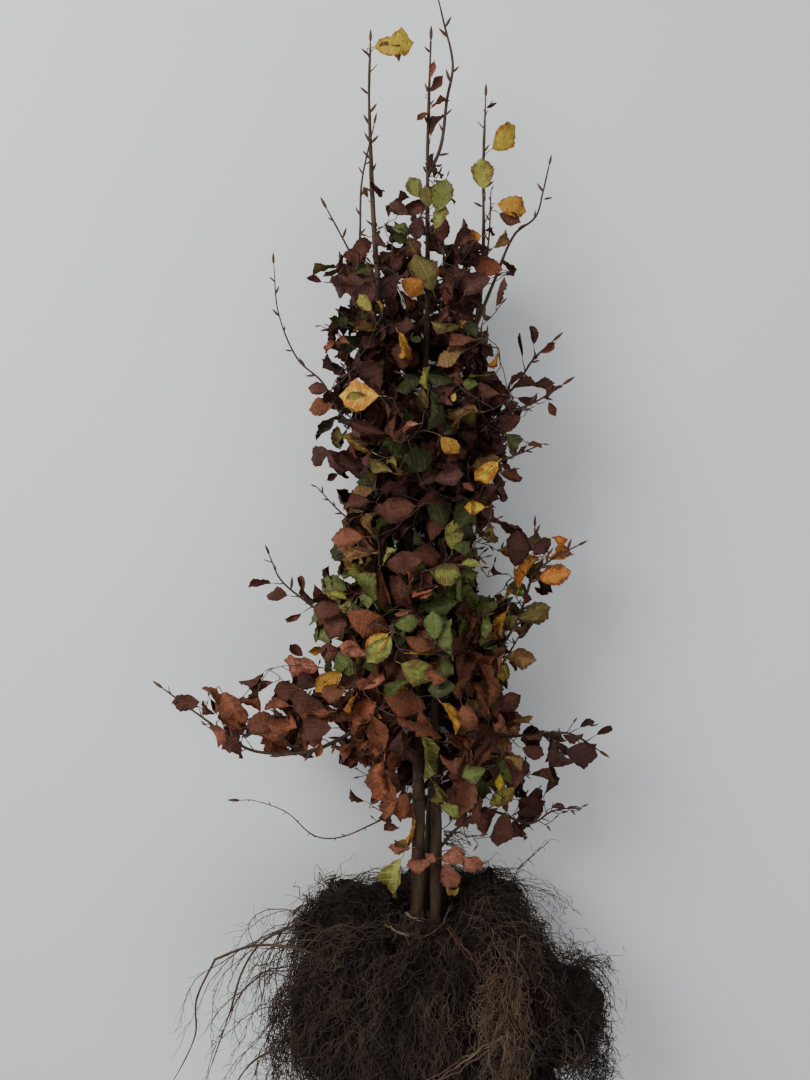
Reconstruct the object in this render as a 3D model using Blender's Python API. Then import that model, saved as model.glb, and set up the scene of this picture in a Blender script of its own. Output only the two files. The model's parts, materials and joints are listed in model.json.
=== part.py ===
"""A bare-rooted young copper beech of three stems, lying on its back on a level floor. Metres, +Z up."""

import math

import bmesh
import bpy
from mathutils import Vector, noise
from mathutils.geometry import interpolate_bezier

# The plant's own frame starts at the root collar. A point in it is (across, along, out): across to the right,
# along the stems from the roots to the tips, and out from the back that lies on the floor.
COLLAR_HEIGHT = 0.150
COLLAR = Vector((0.0535, -0.5363, COLLAR_HEIGHT))
FLOOR_DEPTH = -COLLAR_HEIGHT

SEAT_GAP = 0.0004  # between a limb and what is cut round it
MEETING_GAP = 0.0003  # on each side of the plane where two masses meet

# Limbs: the points that each centre line passes, then its radius at the foot and at the tip.
STEM_TIP = 0.0016
TWIG_TIP = 0.0012
STEMS = {
    "stem_left": ([(-0.013, -0.015, 0.004), (-0.010, 0.210, 0.010), (-0.018, 0.500, 0.012),
                   (-0.050, 0.820, 0.006), (-0.070, 0.990, 0.000), (-0.079, 1.200, 0.000),
                   (-0.077, 1.275, 0.002)], 0.0120, STEM_TIP),
    "stem_right": ([(0.015, -0.015, 0.008), (0.016, 0.210, 0.006), (0.009, 0.500, 0.000),
                    (-0.003, 0.740, 0.000), (0.001, 0.930, 0.004), (0.001, 1.130, 0.000),
                    (0.005, 1.278, 0.000)], 0.0105, STEM_TIP),
    "stem_back": ([(0.002, -0.015, -0.017), (0.012, 0.250, -0.026), (0.035, 0.550, -0.024),
                   (0.062, 0.840, -0.014), (0.078, 0.970, -0.006), (0.078, 1.120, 0.000),
                   (0.080, 1.205, 0.000)], 0.0085, STEM_TIP),
}
LEADERS = {
    "leader_tall": ([(0.001, 1.100, 0.000), (0.019, 1.140, 0.004), (0.027, 1.200, 0.004),
                     (0.035, 1.248, 0.000), (0.022, 1.304, 0.000), (0.008, 1.360, 0.000)], 0.0026, TWIG_TIP),
    "leader_twin": ([(-0.098, 0.950, 0.006), (-0.092, 1.020, 0.009), (-0.089, 1.090, 0.011),
                     (-0.072, 1.165, 0.012)], 0.0022, TWIG_TIP),
    "leader_curved": ([(0.070, 0.900, -0.010), (0.095, 0.962, 0.000), (0.121, 1.022, 0.004),
                       (0.150, 1.046, 0.004), (0.160, 1.080, 0.002), (0.168, 1.115, 0.000)],
                      0.0026, TWIG_TIP),
}
BOUGHS = {
    "bough_upper_left": ([(-0.088, 0.950, -0.010), (-0.106, 0.999, -0.012), (-0.122, 1.030, -0.012),
                          (-0.139, 1.061, -0.012)], 0.0020, TWIG_TIP),
    "bough_left_wisp": ([(-0.090, 0.750, 0.012), (-0.121, 0.778, 0.016), (-0.145, 0.820, 0.018),
                         (-0.179, 0.852, 0.018), (-0.205, 0.915, 0.014), (-0.211, 0.981, 0.010)],
                        0.0024, TWIG_TIP),
    "bough_mid_left": ([(-0.135, 0.485, 0.020), (-0.166, 0.509, 0.022), (-0.206, 0.543, 0.020),
                        (-0.222, 0.578, 0.018)], 0.0020, TWIG_TIP),
    "bough_low_left": ([(-0.014, 0.400, 0.012), (-0.081, 0.343, 0.034), (-0.152, 0.305, 0.044),
                        (-0.202, 0.297, 0.046)], 0.0036, 0.0024),
    "bough_low_left_reach": ([(-0.202, 0.297, 0.046), (-0.253, 0.305, 0.044), (-0.310, 0.343, 0.038),
                              (-0.374, 0.389, 0.032)], 0.0024, TWIG_TIP),
    "bough_bare_left": ([(-0.010, 0.215, 0.010), (-0.078, 0.184, 0.022), (-0.126, 0.164, 0.022),
                         (-0.163, 0.166, 0.020), (-0.204, 0.200, 0.016), (-0.253, 0.216, 0.012),
                         (-0.272, 0.215, 0.010)], 0.0022, TWIG_TIP),
    "bough_mid_right": ([(0.100, 0.430, 0.010), (0.128, 0.480, 0.016), (0.150, 0.550, 0.020),
                         (0.153, 0.618, 0.020)], 0.0024, TWIG_TIP),
    "bough_mid_right_side": ([(0.150, 0.550, 0.020), (0.179, 0.574, 0.022), (0.213, 0.592, 0.022)],
                             0.0018, TWIG_TIP),
    "bough_low_right": ([(0.100, 0.306, 0.004), (0.151, 0.313, 0.008), (0.210, 0.315, 0.008),
                         (0.254, 0.289, 0.006)], 0.0024, TWIG_TIP),
    "bough_skirt_right": ([(0.110, 0.194, 0.006), (0.155, 0.180, 0.010), (0.185, 0.198, 0.010),
                           (0.208, 0.203, 0.010)], 0.0020, TWIG_TIP),
    "bough_upper_right": ([(0.095, 0.790, 0.000), (0.126, 0.817, 0.004), (0.150, 0.853, 0.004),
                           (0.177, 0.878, 0.004)], 0.0020, TWIG_TIP),
    "bough_right_reach": ([(0.085, 0.764, 0.022), (0.120, 0.780, 0.026), (0.150, 0.792, 0.026),
                           (0.188, 0.816, 0.024)], 0.0020, TWIG_TIP),
}
ROOT_LIMBS = {
    "root_crown": ([(0.003, 0.014, -0.002), (0.003, -0.040, 0.000), (0.006, -0.120, 0.000),
                    (0.012, -0.215, 0.000)], 0.0270, 0.0080),
    "root_trail_high": ([(0.000, -0.020, 0.010), (-0.060, -0.012, 0.070), (-0.120, 0.006, 0.084),
                         (-0.185, 0.020, 0.066), (-0.250, 0.014, 0.050), (-0.306, -0.010, 0.044)],
                        0.0048, 0.0028),
    "root_trail_high_tip": ([(-0.306, -0.010, 0.044), (-0.336, -0.076, 0.038), (-0.342, -0.140, 0.032),
                             (-0.390, -0.238, 0.024)], 0.0028, 0.0014),
    "root_trail_mid": ([(-0.160, 0.040, 0.020), (-0.236, 0.008, 0.024), (-0.270, -0.040, 0.022),
                        (-0.292, -0.110, 0.018), (-0.330, -0.220, 0.010)], 0.0034, 0.0014),
    "root_trail_low": ([(-0.130, -0.118, 0.070), (-0.206, -0.128, 0.070), (-0.254, -0.160, 0.060),
                        (-0.300, -0.246, 0.036)], 0.0036, 0.0014),
}
LIMB_SPAN = 0.100  # the length of one straight stretch of a limb
LIMB_BEVEL = 1  # the bevel resolution that gives a limb six sides
CURVE_STEPS = 8  # steps from one named point of a centre line to the next, before it is spaced out evenly
THINNING = 0.85  # under 1, a limb thins slowly at first and fastest near its tip

# Tiers of the crown: how far up the middle lies, half the height, and how far the mass on each side reaches.
TIERS = {
    "skirt": (0.216, 0.060, {"left": 0.100, "right": 0.140}),
    "low": (0.335, 0.088, {"left": 0.152, "right": 0.152, "front": 0.152, "back": 0.160}),
    "mid": (0.470, 0.086, {"left": 0.170, "right": 0.150, "front": 0.148, "back": 0.160}),
    "waist": (0.608, 0.088, {"left": 0.136, "right": 0.118, "back": 0.160}),
    "upper": (0.750, 0.088, {"left": 0.142, "right": 0.138, "front": 0.132, "back": 0.160}),
    "shoulder": (0.880, 0.080, {"left": 0.146, "right": 0.116, "back": 0.136}),
    "crest": (0.978, 0.056, {"left": 0.134, "right": 0.122}),
}
SIDES = {"left": (-1, 0, 0), "right": (1, 0, 0), "front": (0, 0, 1), "back": (0, 0, -1)}
TIER_DEPTH = 0.135  # how far out a tier reaches where no front or back mass is named
TIER_SWELL = 1.25  # a mass is this much taller than its tier before it is cut where the tiers meet
TIER_BREADTH = 0.82  # half a mass's breadth, as a share of half the tier's
TIER_CENTRE = 0.48  # where a mass has its centre, as a share of its reach

# Masses with a place of their own: the centre, then half the size across, along and out.
LONE_FOLIAGE = {
    "foliage_foot": ((0.024, 0.096, 0.034), (0.068, 0.036, 0.028)),
    "foliage_skirt_tip": ((0.156, 0.212, 0.004), (0.052, 0.046, 0.060)),
    "foliage_low_left_arm": ((-0.196, 0.356, 0.036), (0.072, 0.062, 0.066)),
    "foliage_low_left_tip": ((-0.296, 0.350, 0.038), (0.050, 0.042, 0.046)),
    "foliage_low_right_tip": ((0.186, 0.306, 0.004), (0.076, 0.044, 0.056)),
    "foliage_mid_spray": ((0.150, 0.550, 0.020), (0.056, 0.072, 0.052)),
    "foliage_crest_top": ((-0.004, 1.050, 0.004), (0.052, 0.086, 0.050)),
}
ROOT_MASSES = {
    "root_mass_left": ((-0.102, 0.004, 0.000), (0.098, 0.082, 0.130)),
    "root_mass_left_low": ((-0.104, -0.118, 0.004), (0.116, 0.100, 0.140)),
    "root_mass_right": ((0.096, 0.006, 0.000), (0.092, 0.090, 0.128)),
    "root_mass_right_low": ((0.176, -0.114, -0.004), (0.112, 0.088, 0.126)),
    "root_mass_front": ((0.034, -0.110, 0.100), (0.140, 0.130, 0.064)),
    "root_mass_foot": ((0.056, -0.208, -0.004), (0.230, 0.080, 0.138)),
    "root_mass_back": ((0.024, -0.070, -0.104), (0.160, 0.150, 0.074)),
}
LUMP_SEGMENTS = 9
LUMP_RINGS = 7
UNEVENNESS = 0.22  # how far a lump swells or sinks, as a share of its size
LUMP_DETAIL = 1.4  # swellings in one radius of a lump
LUMP_SEED_STEP = Vector((7.3, -3.1, 1.7))  # moves each lump to its own place in the noise
SHARP_EDGE = math.radians(40)
WELD = 1e-5

# Colours as seen, red, green and blue, and the roughness.
BARK = ((0.105, 0.080, 0.060), 0.80)
YOUNG_BARK = ((0.130, 0.085, 0.060), 0.70)
ROOT_BARK = ((0.090, 0.055, 0.038), 0.90)
ROOT_TANGLE = ((0.045, 0.030, 0.024), 1.00)
PURPLE_LEAVES = ((0.075, 0.028, 0.024), 0.70)
COPPER_LEAVES = ((0.220, 0.080, 0.040), 0.70)
GREEN_LEAVES = ((0.095, 0.100, 0.040), 0.70)
GOLD_LEAVES = ((0.400, 0.220, 0.050), 0.70)
TIER_COLOURS = {
    "skirt": COPPER_LEAVES,
    "low": COPPER_LEAVES,
    "mid": GREEN_LEAVES,
    "waist": GREEN_LEAVES,
    "upper": PURPLE_LEAVES,
    "shoulder": PURPLE_LEAVES,
    "crest": PURPLE_LEAVES,
}
LONE_COLOURS = {"foliage_mid_spray": GOLD_LEAVES, "foliage_foot": COPPER_LEAVES}


def clear_scene():
    for old in list(bpy.data.objects):
        bpy.data.objects.remove(old)


def coloured(name, look):
    colour, roughness = look
    material = bpy.data.materials.new(name)
    material.use_nodes = True
    shader = material.node_tree.nodes["Principled BSDF"]
    shader.inputs["Base Color"].default_value = (*colour, 1.0)
    shader.inputs["Roughness"].default_value = roughness
    return material


def shade_round(mesh):
    mesh.shade_smooth()
    mesh.set_sharp_from_angle(angle=SHARP_EDGE)


def set_down(name, mesh, place, plant):
    """An object of this mesh, at a place in the plant's frame."""
    piece = bpy.data.objects.new(name, mesh)
    bpy.context.scene.collection.objects.link(piece)
    piece.parent = plant
    piece.location = place
    return piece


def limb_line(points):
    """Points at even distances along one smooth curve through the given ones."""
    knots = [Vector(point) for point in points]
    run = [2 * knots[0] - knots[1], *knots, 2 * knots[-1] - knots[-2]]
    fine = []
    for before, start, end, after in zip(run, run[1:], run[2:], run[3:]):
        third = (end - start).length / 3
        leave = start + (end - before).normalized() * third
        arrive = end - (after - start).normalized() * third
        fine += interpolate_bezier(start, leave, arrive, end, CURVE_STEPS + 1)[:-1]
    fine.append(knots[-1])
    reach = [0.0]
    for a, b in zip(fine, fine[1:]):
        reach.append(reach[-1] + (b - a).length)
    spans = max(3, math.ceil(reach[-1] / LIMB_SPAN))
    line = []
    for step in range(spans):
        wanted = reach[-1] * step / spans
        i = max(k for k in range(len(fine) - 1) if reach[k] <= wanted)
        line.append(fine[i].lerp(fine[i + 1], (wanted - reach[i]) / (reach[i + 1] - reach[i])))
    return line + [fine[-1]]


def limb_mesh(name, limb, swell=0.0):
    """A tapering limb with closed ends, which starts at its own origin. swell makes it thicker all round."""
    points, foot_radius, tip_radius = limb
    line = limb_line(points)
    foot = line[0].copy()
    line[0] += (line[0] - line[1]).normalized() * swell
    line[-1] += (line[-1] - line[-2]).normalized() * swell
    curve = bpy.data.curves.new(name, "CURVE")
    curve.dimensions = "3D"
    curve.bevel_depth = 1.0
    curve.bevel_resolution = LIMB_BEVEL
    curve.use_fill_caps = True
    spline = curve.splines.new("POLY")
    spline.points.add(len(line) - 1)
    for i, (knot, place) in enumerate(zip(spline.points, line)):
        left = 1 - i / (len(line) - 1)
        knot.co = (*(place - foot), 1.0)
        knot.radius = tip_radius + (foot_radius - tip_radius) * left**THINNING + swell
    guide = bpy.data.objects.new(name + "_line", curve)
    bpy.context.scene.collection.objects.link(guide)
    graph = bpy.context.evaluated_depsgraph_get()
    mesh = bpy.data.meshes.new_from_object(guide.evaluated_get(graph))
    bpy.data.objects.remove(guide)
    form = bmesh.new()
    form.from_mesh(mesh)
    bmesh.ops.remove_doubles(form, verts=form.verts, dist=WELD)
    bmesh.ops.triangulate(form, faces=form.faces, quad_method="FIXED", ngon_method="BEAUTY")
    bmesh.ops.recalc_face_normals(form, faces=form.faces)
    form.to_mesh(mesh)
    form.free()
    shade_round(mesh)
    return mesh


def tier_lumps():
    """The masses of each tier: centre and half sizes of one on every side that the tier names."""
    lumps = {}
    for tier, (middle, half_height, reaches) in TIERS.items():
        half_width = (reaches["left"] + reaches["right"]) / 2
        half_depth = (reaches.get("front", TIER_DEPTH) + reaches.get("back", TIER_DEPTH)) / 2
        for side, reach in reaches.items():
            centre = Vector(SIDES[side]) * reach * TIER_CENTRE + Vector((0, middle, 0))
            outward = reach * (1 - TIER_CENTRE)
            along = half_height * TIER_SWELL
            if side in ("left", "right"):
                half_sizes = (outward, along, half_depth * TIER_BREADTH)
            else:
                half_sizes = (half_width * TIER_BREADTH, along, outward)
            lumps[f"foliage_{tier}_{side}"] = (centre, half_sizes)
    return lumps


def reach_along(half_sizes, direction):
    """How far an ellipsoid reaches along a direction, measured from its centre."""
    return math.sqrt(sum((d * r) ** 2 for d, r in zip(direction, half_sizes)))


def cut_flat(form, point, normal):
    """Takes away what lies on the normal's side of a plane, and closes the cut."""
    whole = form.verts[:] + form.edges[:] + form.faces[:]
    cut = bmesh.ops.bisect_plane(
        form, geom=whole, plane_co=point, plane_no=normal, clear_outer=True, dist=WELD
    )
    rim = [element for element in cut["geom_cut"] if isinstance(element, bmesh.types.BMEdge)]
    if rim:
        bmesh.ops.holes_fill(form, edges=rim, sides=0)


def lump_mesh(name, lumps):
    """One closed, uneven mass round its own origin, cut flat where it meets each neighbour and the floor."""
    centre = Vector(lumps[name][0])
    half_sizes = lumps[name][1]
    seed = LUMP_SEED_STEP * list(lumps).index(name)
    form = bmesh.new()
    bmesh.ops.create_uvsphere(form, u_segments=LUMP_SEGMENTS, v_segments=LUMP_RINGS, radius=1.0)
    for vert in form.verts:
        swelling = 1 + UNEVENNESS * noise.noise(vert.co * LUMP_DETAIL + seed)
        vert.co = Vector(part * size * swelling for part, size in zip(vert.co, half_sizes))
    bmesh.ops.triangulate(form, faces=form.faces)
    for other, (other_centre, other_sizes) in lumps.items():
        if other == name:
            continue
        apart = Vector(other_centre) - centre
        towards = apart.normalized()
        mine = reach_along(half_sizes, towards)
        theirs = reach_along(other_sizes, towards)
        if apart.length < (mine + theirs) * (1 + UNEVENNESS):
            meeting = apart * mine / (mine + theirs)
            cut_flat(form, meeting - towards * MEETING_GAP, towards)
    cut_flat(form, Vector((0, 0, FLOOR_DEPTH - centre.z)), Vector((0, 0, -1)))
    bmesh.ops.triangulate(form, faces=form.faces)
    bmesh.ops.recalc_face_normals(form, faces=form.faces)
    mesh = bpy.data.meshes.new(name)
    form.to_mesh(mesh)
    form.free()
    return mesh


def boxes_meet(a, b):
    """Whether the boxes round two pieces overlap."""
    for k in range(3):
        a_run = [a.location[k] + vert.co[k] for vert in a.data.vertices]
        b_run = [b.location[k] + vert.co[k] for vert in b.data.vertices]
        if min(a_run) > max(b_run) or min(b_run) > max(a_run):
            return False
    return True


def drop_scraps(mesh):
    """Keeps the largest body of a mesh, and drops what a cut leaves beside it."""
    form = bmesh.new()
    form.from_mesh(mesh)
    unseen = set(form.verts)
    bodies = []
    while unseen:
        body = set()
        stack = [unseen.pop()]
        while stack:
            vert = stack.pop()
            body.add(vert)
            fresh = {edge.other_vert(vert) for edge in vert.link_edges} & unseen
            unseen -= fresh
            stack += fresh
        bodies.append(body)
    bodies.sort(key=len)
    bmesh.ops.delete(form, geom=[vert for body in bodies[:-1] for vert in body], context="VERTS")
    form.to_mesh(mesh)
    form.free()


def cut_round_limbs(piece, cutters):
    """Gives a piece a clear way for each limb that runs through it."""
    near = [cutter for cutter in cutters if boxes_meet(piece, cutter)]
    if not near:
        return
    for cutter in near:
        way = piece.modifiers.new(cutter.name, "BOOLEAN")
        way.operation = "DIFFERENCE"
        way.solver = "EXACT"
        way.object = cutter
    graph = bpy.context.evaluated_depsgraph_get()
    mesh = bpy.data.meshes.new_from_object(piece.evaluated_get(graph))
    piece.modifiers.clear()
    drop_scraps(mesh)
    piece.data = mesh


def make_limbs(limbs, look, cutters, plant):
    """Limbs of one kind, each cut clear of the earlier ones. Their own cutters join the list."""
    for name, limb in limbs.items():
        mesh = limb_mesh(name, limb)
        mesh.materials.append(coloured(name, look))
        piece = set_down(name, mesh, limb[0][0], plant)
        cut_round_limbs(piece, cutters)
        cutter = set_down(name + "_way", limb_mesh(name + "_way", limb, swell=SEAT_GAP), limb[0][0], plant)
        cutter.hide_render = True
        cutter.display_type = "WIRE"
        cutters.append(cutter)


def make_masses(names, lumps, look_of, cutters, plant):
    for name in names:
        mesh = lump_mesh(name, lumps)
        mesh.materials.append(coloured(name, look_of(name)))
        piece = set_down(name, mesh, lumps[name][0], plant)
        cut_round_limbs(piece, cutters)
        shade_round(piece.data)


def foliage_look(name):
    tier = name.split("_")[1]
    return LONE_COLOURS.get(name) or TIER_COLOURS[tier]


def root_look(name):
    return ROOT_TANGLE


def main():
    clear_scene()
    plant = bpy.data.objects.new("plant", None)
    bpy.context.scene.collection.objects.link(plant)
    plant.location = COLLAR
    cutters = []
    make_limbs(STEMS, BARK, cutters, plant)
    make_limbs(LEADERS, YOUNG_BARK, cutters, plant)
    make_limbs(BOUGHS, YOUNG_BARK, cutters, plant)
    make_limbs(ROOT_LIMBS, ROOT_BARK, cutters, plant)
    foliage = {**tier_lumps(), **LONE_FOLIAGE}
    masses = {**foliage, **ROOT_MASSES}
    make_masses(foliage, masses, foliage_look, cutters, plant)
    make_masses(ROOT_MASSES, masses, root_look, cutters, plant)


main()
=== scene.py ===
"""The looks of a bare-rooted young copper beech, lying on its back on a pale floor.

Metres, but the tables of limbs and of main roots are in millimetres.
"""

import json
import math
import random

import bmesh
import bpy
import numpy as np
from mathutils import Matrix, Quaternion, Vector, noise
from mathutils.bvhtree import BVHTree
from mathutils.geometry import interpolate_bezier


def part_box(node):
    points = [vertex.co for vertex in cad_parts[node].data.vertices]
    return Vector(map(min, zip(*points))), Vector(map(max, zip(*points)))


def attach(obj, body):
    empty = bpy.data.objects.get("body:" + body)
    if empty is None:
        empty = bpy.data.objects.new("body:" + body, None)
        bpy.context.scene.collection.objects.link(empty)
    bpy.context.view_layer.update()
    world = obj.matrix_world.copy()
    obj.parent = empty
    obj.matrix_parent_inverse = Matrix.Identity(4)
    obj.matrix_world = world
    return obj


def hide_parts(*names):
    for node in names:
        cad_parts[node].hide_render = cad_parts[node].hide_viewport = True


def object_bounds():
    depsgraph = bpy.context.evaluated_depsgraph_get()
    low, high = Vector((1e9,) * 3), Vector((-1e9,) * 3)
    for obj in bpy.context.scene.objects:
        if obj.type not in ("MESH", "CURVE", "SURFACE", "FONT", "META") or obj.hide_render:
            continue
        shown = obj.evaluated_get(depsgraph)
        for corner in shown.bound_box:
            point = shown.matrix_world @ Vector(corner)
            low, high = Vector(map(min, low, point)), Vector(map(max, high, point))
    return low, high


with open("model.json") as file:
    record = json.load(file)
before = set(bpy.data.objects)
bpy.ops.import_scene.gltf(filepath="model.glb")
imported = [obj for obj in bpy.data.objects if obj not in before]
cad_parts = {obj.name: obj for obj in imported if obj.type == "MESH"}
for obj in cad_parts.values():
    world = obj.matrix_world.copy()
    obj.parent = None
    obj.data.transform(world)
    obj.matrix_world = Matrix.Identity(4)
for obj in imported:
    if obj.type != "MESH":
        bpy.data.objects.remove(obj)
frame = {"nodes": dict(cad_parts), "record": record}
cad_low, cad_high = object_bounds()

# The plant's own frame starts at the root collar: across to the right, along the stems, out from the floor.
COLLAR = Vector((0.0535, -0.5363, 0.150))
UP_THE_STEMS = Vector((0, 1, 0))
OUT = Vector((0, 0, 1))
FLOOR_REST = 0.0015  # the lowest that a leaf or a root lies
ROOT_REST = FLOOR_REST + 0.001  # the lowest that the middle of a fine root lies
BOX_SPARE = 0.024  # how far looks may stand proud of the solids' box at its low sides
BOX_SPARE_HIGH = BOX_SPARE * 0.7  # and at its high sides
DEEPEST_SINK = -0.03  # a leaf or root that would hang lower than this is left out, a higher one lies flat

# Limbs: the points that each centre line passes, then its radius at the foot and at the tip, in millimetres.
STEM_TIP = 1.4
TWIG_TIP = 0.9
STEMS = {
    "stem_left": ([(-13, -15, 4), (-10, 210, 10), (-18, 500, 12), (-50, 820, 6), (-70, 990, 0),
                   (-79, 1200, 0), (-77, 1275, 2)], 12, STEM_TIP),
    "stem_right": ([(15, -15, 8), (16, 210, 6), (9, 500, 0), (-3, 740, 0), (1, 930, 4), (1, 1130, 0),
                    (5, 1278, 0)], 10.5, STEM_TIP),
    "stem_back": ([(2, -15, -17), (12, 250, -26), (35, 550, -24), (62, 840, -14), (78, 970, -6),
                   (78, 1120, 0), (80, 1205, 0)], 8.5, STEM_TIP),
}
LEADERS = {
    "leader_tall": ([(1, 1100, 0), (19, 1140, 4), (27, 1200, 4), (35, 1248, 0), (22, 1304, 0),
                     (8, 1360, 0)], 2.6, TWIG_TIP),
    "leader_twin": ([(-98, 950, 6), (-92, 1020, 9), (-89, 1090, 11), (-72, 1165, 12)], 2.2, TWIG_TIP),
    "leader_curved": ([(70, 900, -10), (95, 962, 0), (121, 1022, 4), (150, 1046, 4), (160, 1080, 2),
                       (168, 1115, 0)], 2.6, TWIG_TIP),
}
BOUGHS = {
    "bough_upper_left": ([(-88, 950, -10), (-106, 999, -12), (-122, 1030, -12), (-139, 1061, -12)],
                         2, TWIG_TIP),
    "bough_left_wisp": ([(-90, 750, 12), (-121, 778, 16), (-145, 820, 18), (-179, 852, 18),
                         (-205, 915, 14), (-211, 981, 10)], 2.4, TWIG_TIP),
    "bough_mid_left": ([(-135, 485, 20), (-166, 509, 22), (-206, 543, 20), (-222, 578, 18)], 2, TWIG_TIP),
    "bough_low_left": ([(-14, 400, 12), (-81, 343, 34), (-152, 305, 44), (-202, 297, 46)], 3.6, 2.4),
    "bough_low_left_reach": ([(-202, 297, 46), (-253, 305, 44), (-310, 343, 38), (-374, 389, 32)],
                             2.4, TWIG_TIP),
    "bough_bare_left": ([(-10, 215, 10), (-78, 184, 22), (-126, 164, 22), (-163, 166, 20),
                         (-204, 200, 16), (-253, 216, 12), (-272, 215, 10)], 2.2, TWIG_TIP),
    "bough_mid_right": ([(100, 430, 10), (128, 480, 16), (150, 550, 20), (153, 618, 20)], 2.4, TWIG_TIP),
    "bough_mid_right_side": ([(150, 550, 20), (179, 574, 22), (213, 592, 22)], 1.8, TWIG_TIP),
    "bough_low_right": ([(100, 306, 4), (151, 313, 8), (210, 315, 8), (254, 289, 6)], 2.4, TWIG_TIP),
    "bough_skirt_right": ([(110, 194, 6), (155, 180, 10), (185, 198, 10), (208, 203, 10)], 2, TWIG_TIP),
    "bough_upper_right": ([(95, 790, 0), (126, 817, 4), (150, 853, 4), (177, 878, 4)], 2, TWIG_TIP),
    "bough_right_reach": ([(85, 764, 22), (120, 780, 26), (150, 792, 26), (188, 816, 24)], 2, TWIG_TIP),
}
WOOD_LIMBS = {**STEMS, **LEADERS, **BOUGHS}
# Those that start on the wood of another limb. A hidden length of wood joins each of the rest to a stem.
JOINED_LIMBS = ("leader_tall", "bough_low_left", "bough_low_left_reach", "bough_bare_left",
                "bough_mid_right_side")
SKELETON_SPACING = 0.012
# Thin bare twigs that show on their own, and their radii.
SIDE_TWIG_RADII = (1.7, 0.8)
SIDE_TWIGS = [
    [(-60, 590, 20), (-73, 603, 26), (-119, 639, 30), (-153, 675, 28)],
    [(80, 700, 6), (121, 717, 10), (164, 735, 10)],
    [(100, 400, 6), (114, 425, 12), (142, 476, 16), (154, 497, 16)],
    [(79, 960, 0), (86, 1020, 6), (88, 1080, 6)],
]
ROOT_LIMBS = {
    "root_crown": ([(3, 14, -2), (3, -40, 0), (6, -120, 0), (12, -215, 0)], 27, 8),
    "root_trail_high": ([(0, -20, 10), (-60, -12, 70), (-120, 6, 84), (-185, 20, 66), (-250, 14, 50),
                         (-306, -10, 44)], 4.8, 2.8),
    "root_trail_high_tip": ([(-306, -10, 44), (-336, -76, 38), (-342, -140, 32), (-390, -238, 24)], 2.8, 1),
    "root_trail_mid": ([(-160, 40, 20), (-236, 8, 24), (-270, -40, 22), (-292, -110, 18),
                        (-330, -220, 10)], 3.4, 1),
    "root_trail_low": ([(-130, -118, 70), (-206, -128, 70), (-254, -160, 60), (-300, -246, 36)], 3.6, 1),
}
# Limbs that are finer than their solids.
LIMB_THINNESS = {"stem_left": 0.88, "stem_right": 0.84, "stem_back": 0.88, "bough_bare_left": 0.60,
                 "bough_left_wisp": 0.75}
THINNING = 0.85  # under 1, a limb thins slowly at first and fastest near its tip

# Leaf colours: their slot, the main colour, the one it turns to in blotches and at the margin, how much of
# that, how many brown specks, and the roughness.
LEAF_COLOURS = {
    "plum": ("leaf_purple", (0.060, 0.021, 0.015), (0.026, 0.009, 0.007), 0.40, 0.0, 0.55),
    "mahogany": ("leaf_purple", (0.088, 0.030, 0.018), (0.044, 0.015, 0.009), 0.40, 0.1, 0.60),
    "copper": ("leaf_copper", (0.152, 0.053, 0.025), (0.080, 0.026, 0.013), 0.40, 0.2, 0.62),
    "rust": ("leaf_copper", (0.185, 0.058, 0.026), (0.100, 0.028, 0.012), 0.35, 0.1, 0.62),
    "salmon": ("leaf_copper", (0.275, 0.108, 0.066), (0.160, 0.052, 0.030), 0.50, 0.3, 0.65),
    "tan": ("leaf_gold", (0.210, 0.120, 0.042), (0.095, 0.048, 0.018), 0.45, 0.5, 0.62),
    "orange": ("leaf_gold", (0.400, 0.155, 0.026), (0.170, 0.050, 0.014), 0.40, 0.7, 0.58),
    "gold": ("leaf_gold", (0.400, 0.205, 0.030), (0.230, 0.080, 0.016), 0.45, 0.7, 0.58),
    "yellow": ("leaf_gold", (0.430, 0.305, 0.038), (0.300, 0.115, 0.018), 0.50, 0.6, 0.55),
    "lime": ("leaf_green", (0.225, 0.215, 0.038), (0.130, 0.070, 0.018), 0.50, 0.5, 0.55),
    "moss": ("leaf_green", (0.132, 0.148, 0.030), (0.085, 0.060, 0.016), 0.50, 0.4, 0.55),
    "sage": ("leaf_green", (0.200, 0.215, 0.052), (0.110, 0.092, 0.024), 0.45, 0.3, 0.55),
    "olive": ("leaf_green", (0.120, 0.096, 0.024), (0.055, 0.032, 0.012), 0.45, 0.3, 0.55),
    "green": ("leaf_green", (0.084, 0.102, 0.024), (0.046, 0.050, 0.014), 0.40, 0.1, 0.50),
    "deep_green": ("leaf_green", (0.036, 0.041, 0.011), (0.019, 0.018, 0.007), 0.35, 0.0, 0.50),
}
MASS_LEAVES = ("plum", "copper", "gold", "green")  # the one of each slot that stands for the slot's masses
SPECK_BROWN = (0.060, 0.024, 0.012)
# The share of each colour in a stretch of the crown, up to this height above the collar.
COLOUR_STRETCHES = [
    (0.270, {"rust": 4, "mahogany": 4, "copper": 2, "plum": 3, "green": 1, "sage": 1}),
    (0.400, {"copper": 6, "mahogany": 6, "rust": 3, "plum": 2, "gold": 1, "tan": 1, "olive": 1}),
    (0.480, {"copper": 5, "mahogany": 4, "green": 3, "deep_green": 3, "rust": 2, "salmon": 1, "gold": 1,
             "tan": 1}),
    (0.630, {"green": 4, "deep_green": 5, "mahogany": 4, "plum": 4, "olive": 3, "sage": 2, "copper": 2,
             "lime": 1, "tan": 1}),
    (0.760, {"plum": 12, "mahogany": 5, "deep_green": 4, "olive": 3, "tan": 1, "copper": 1}),
    (0.960, {"plum": 14, "mahogany": 6, "olive": 1, "deep_green": 2, "tan": 1}),
    (1.400, {"plum": 11, "mahogany": 6, "olive": 1, "deep_green": 1}),
]
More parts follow.
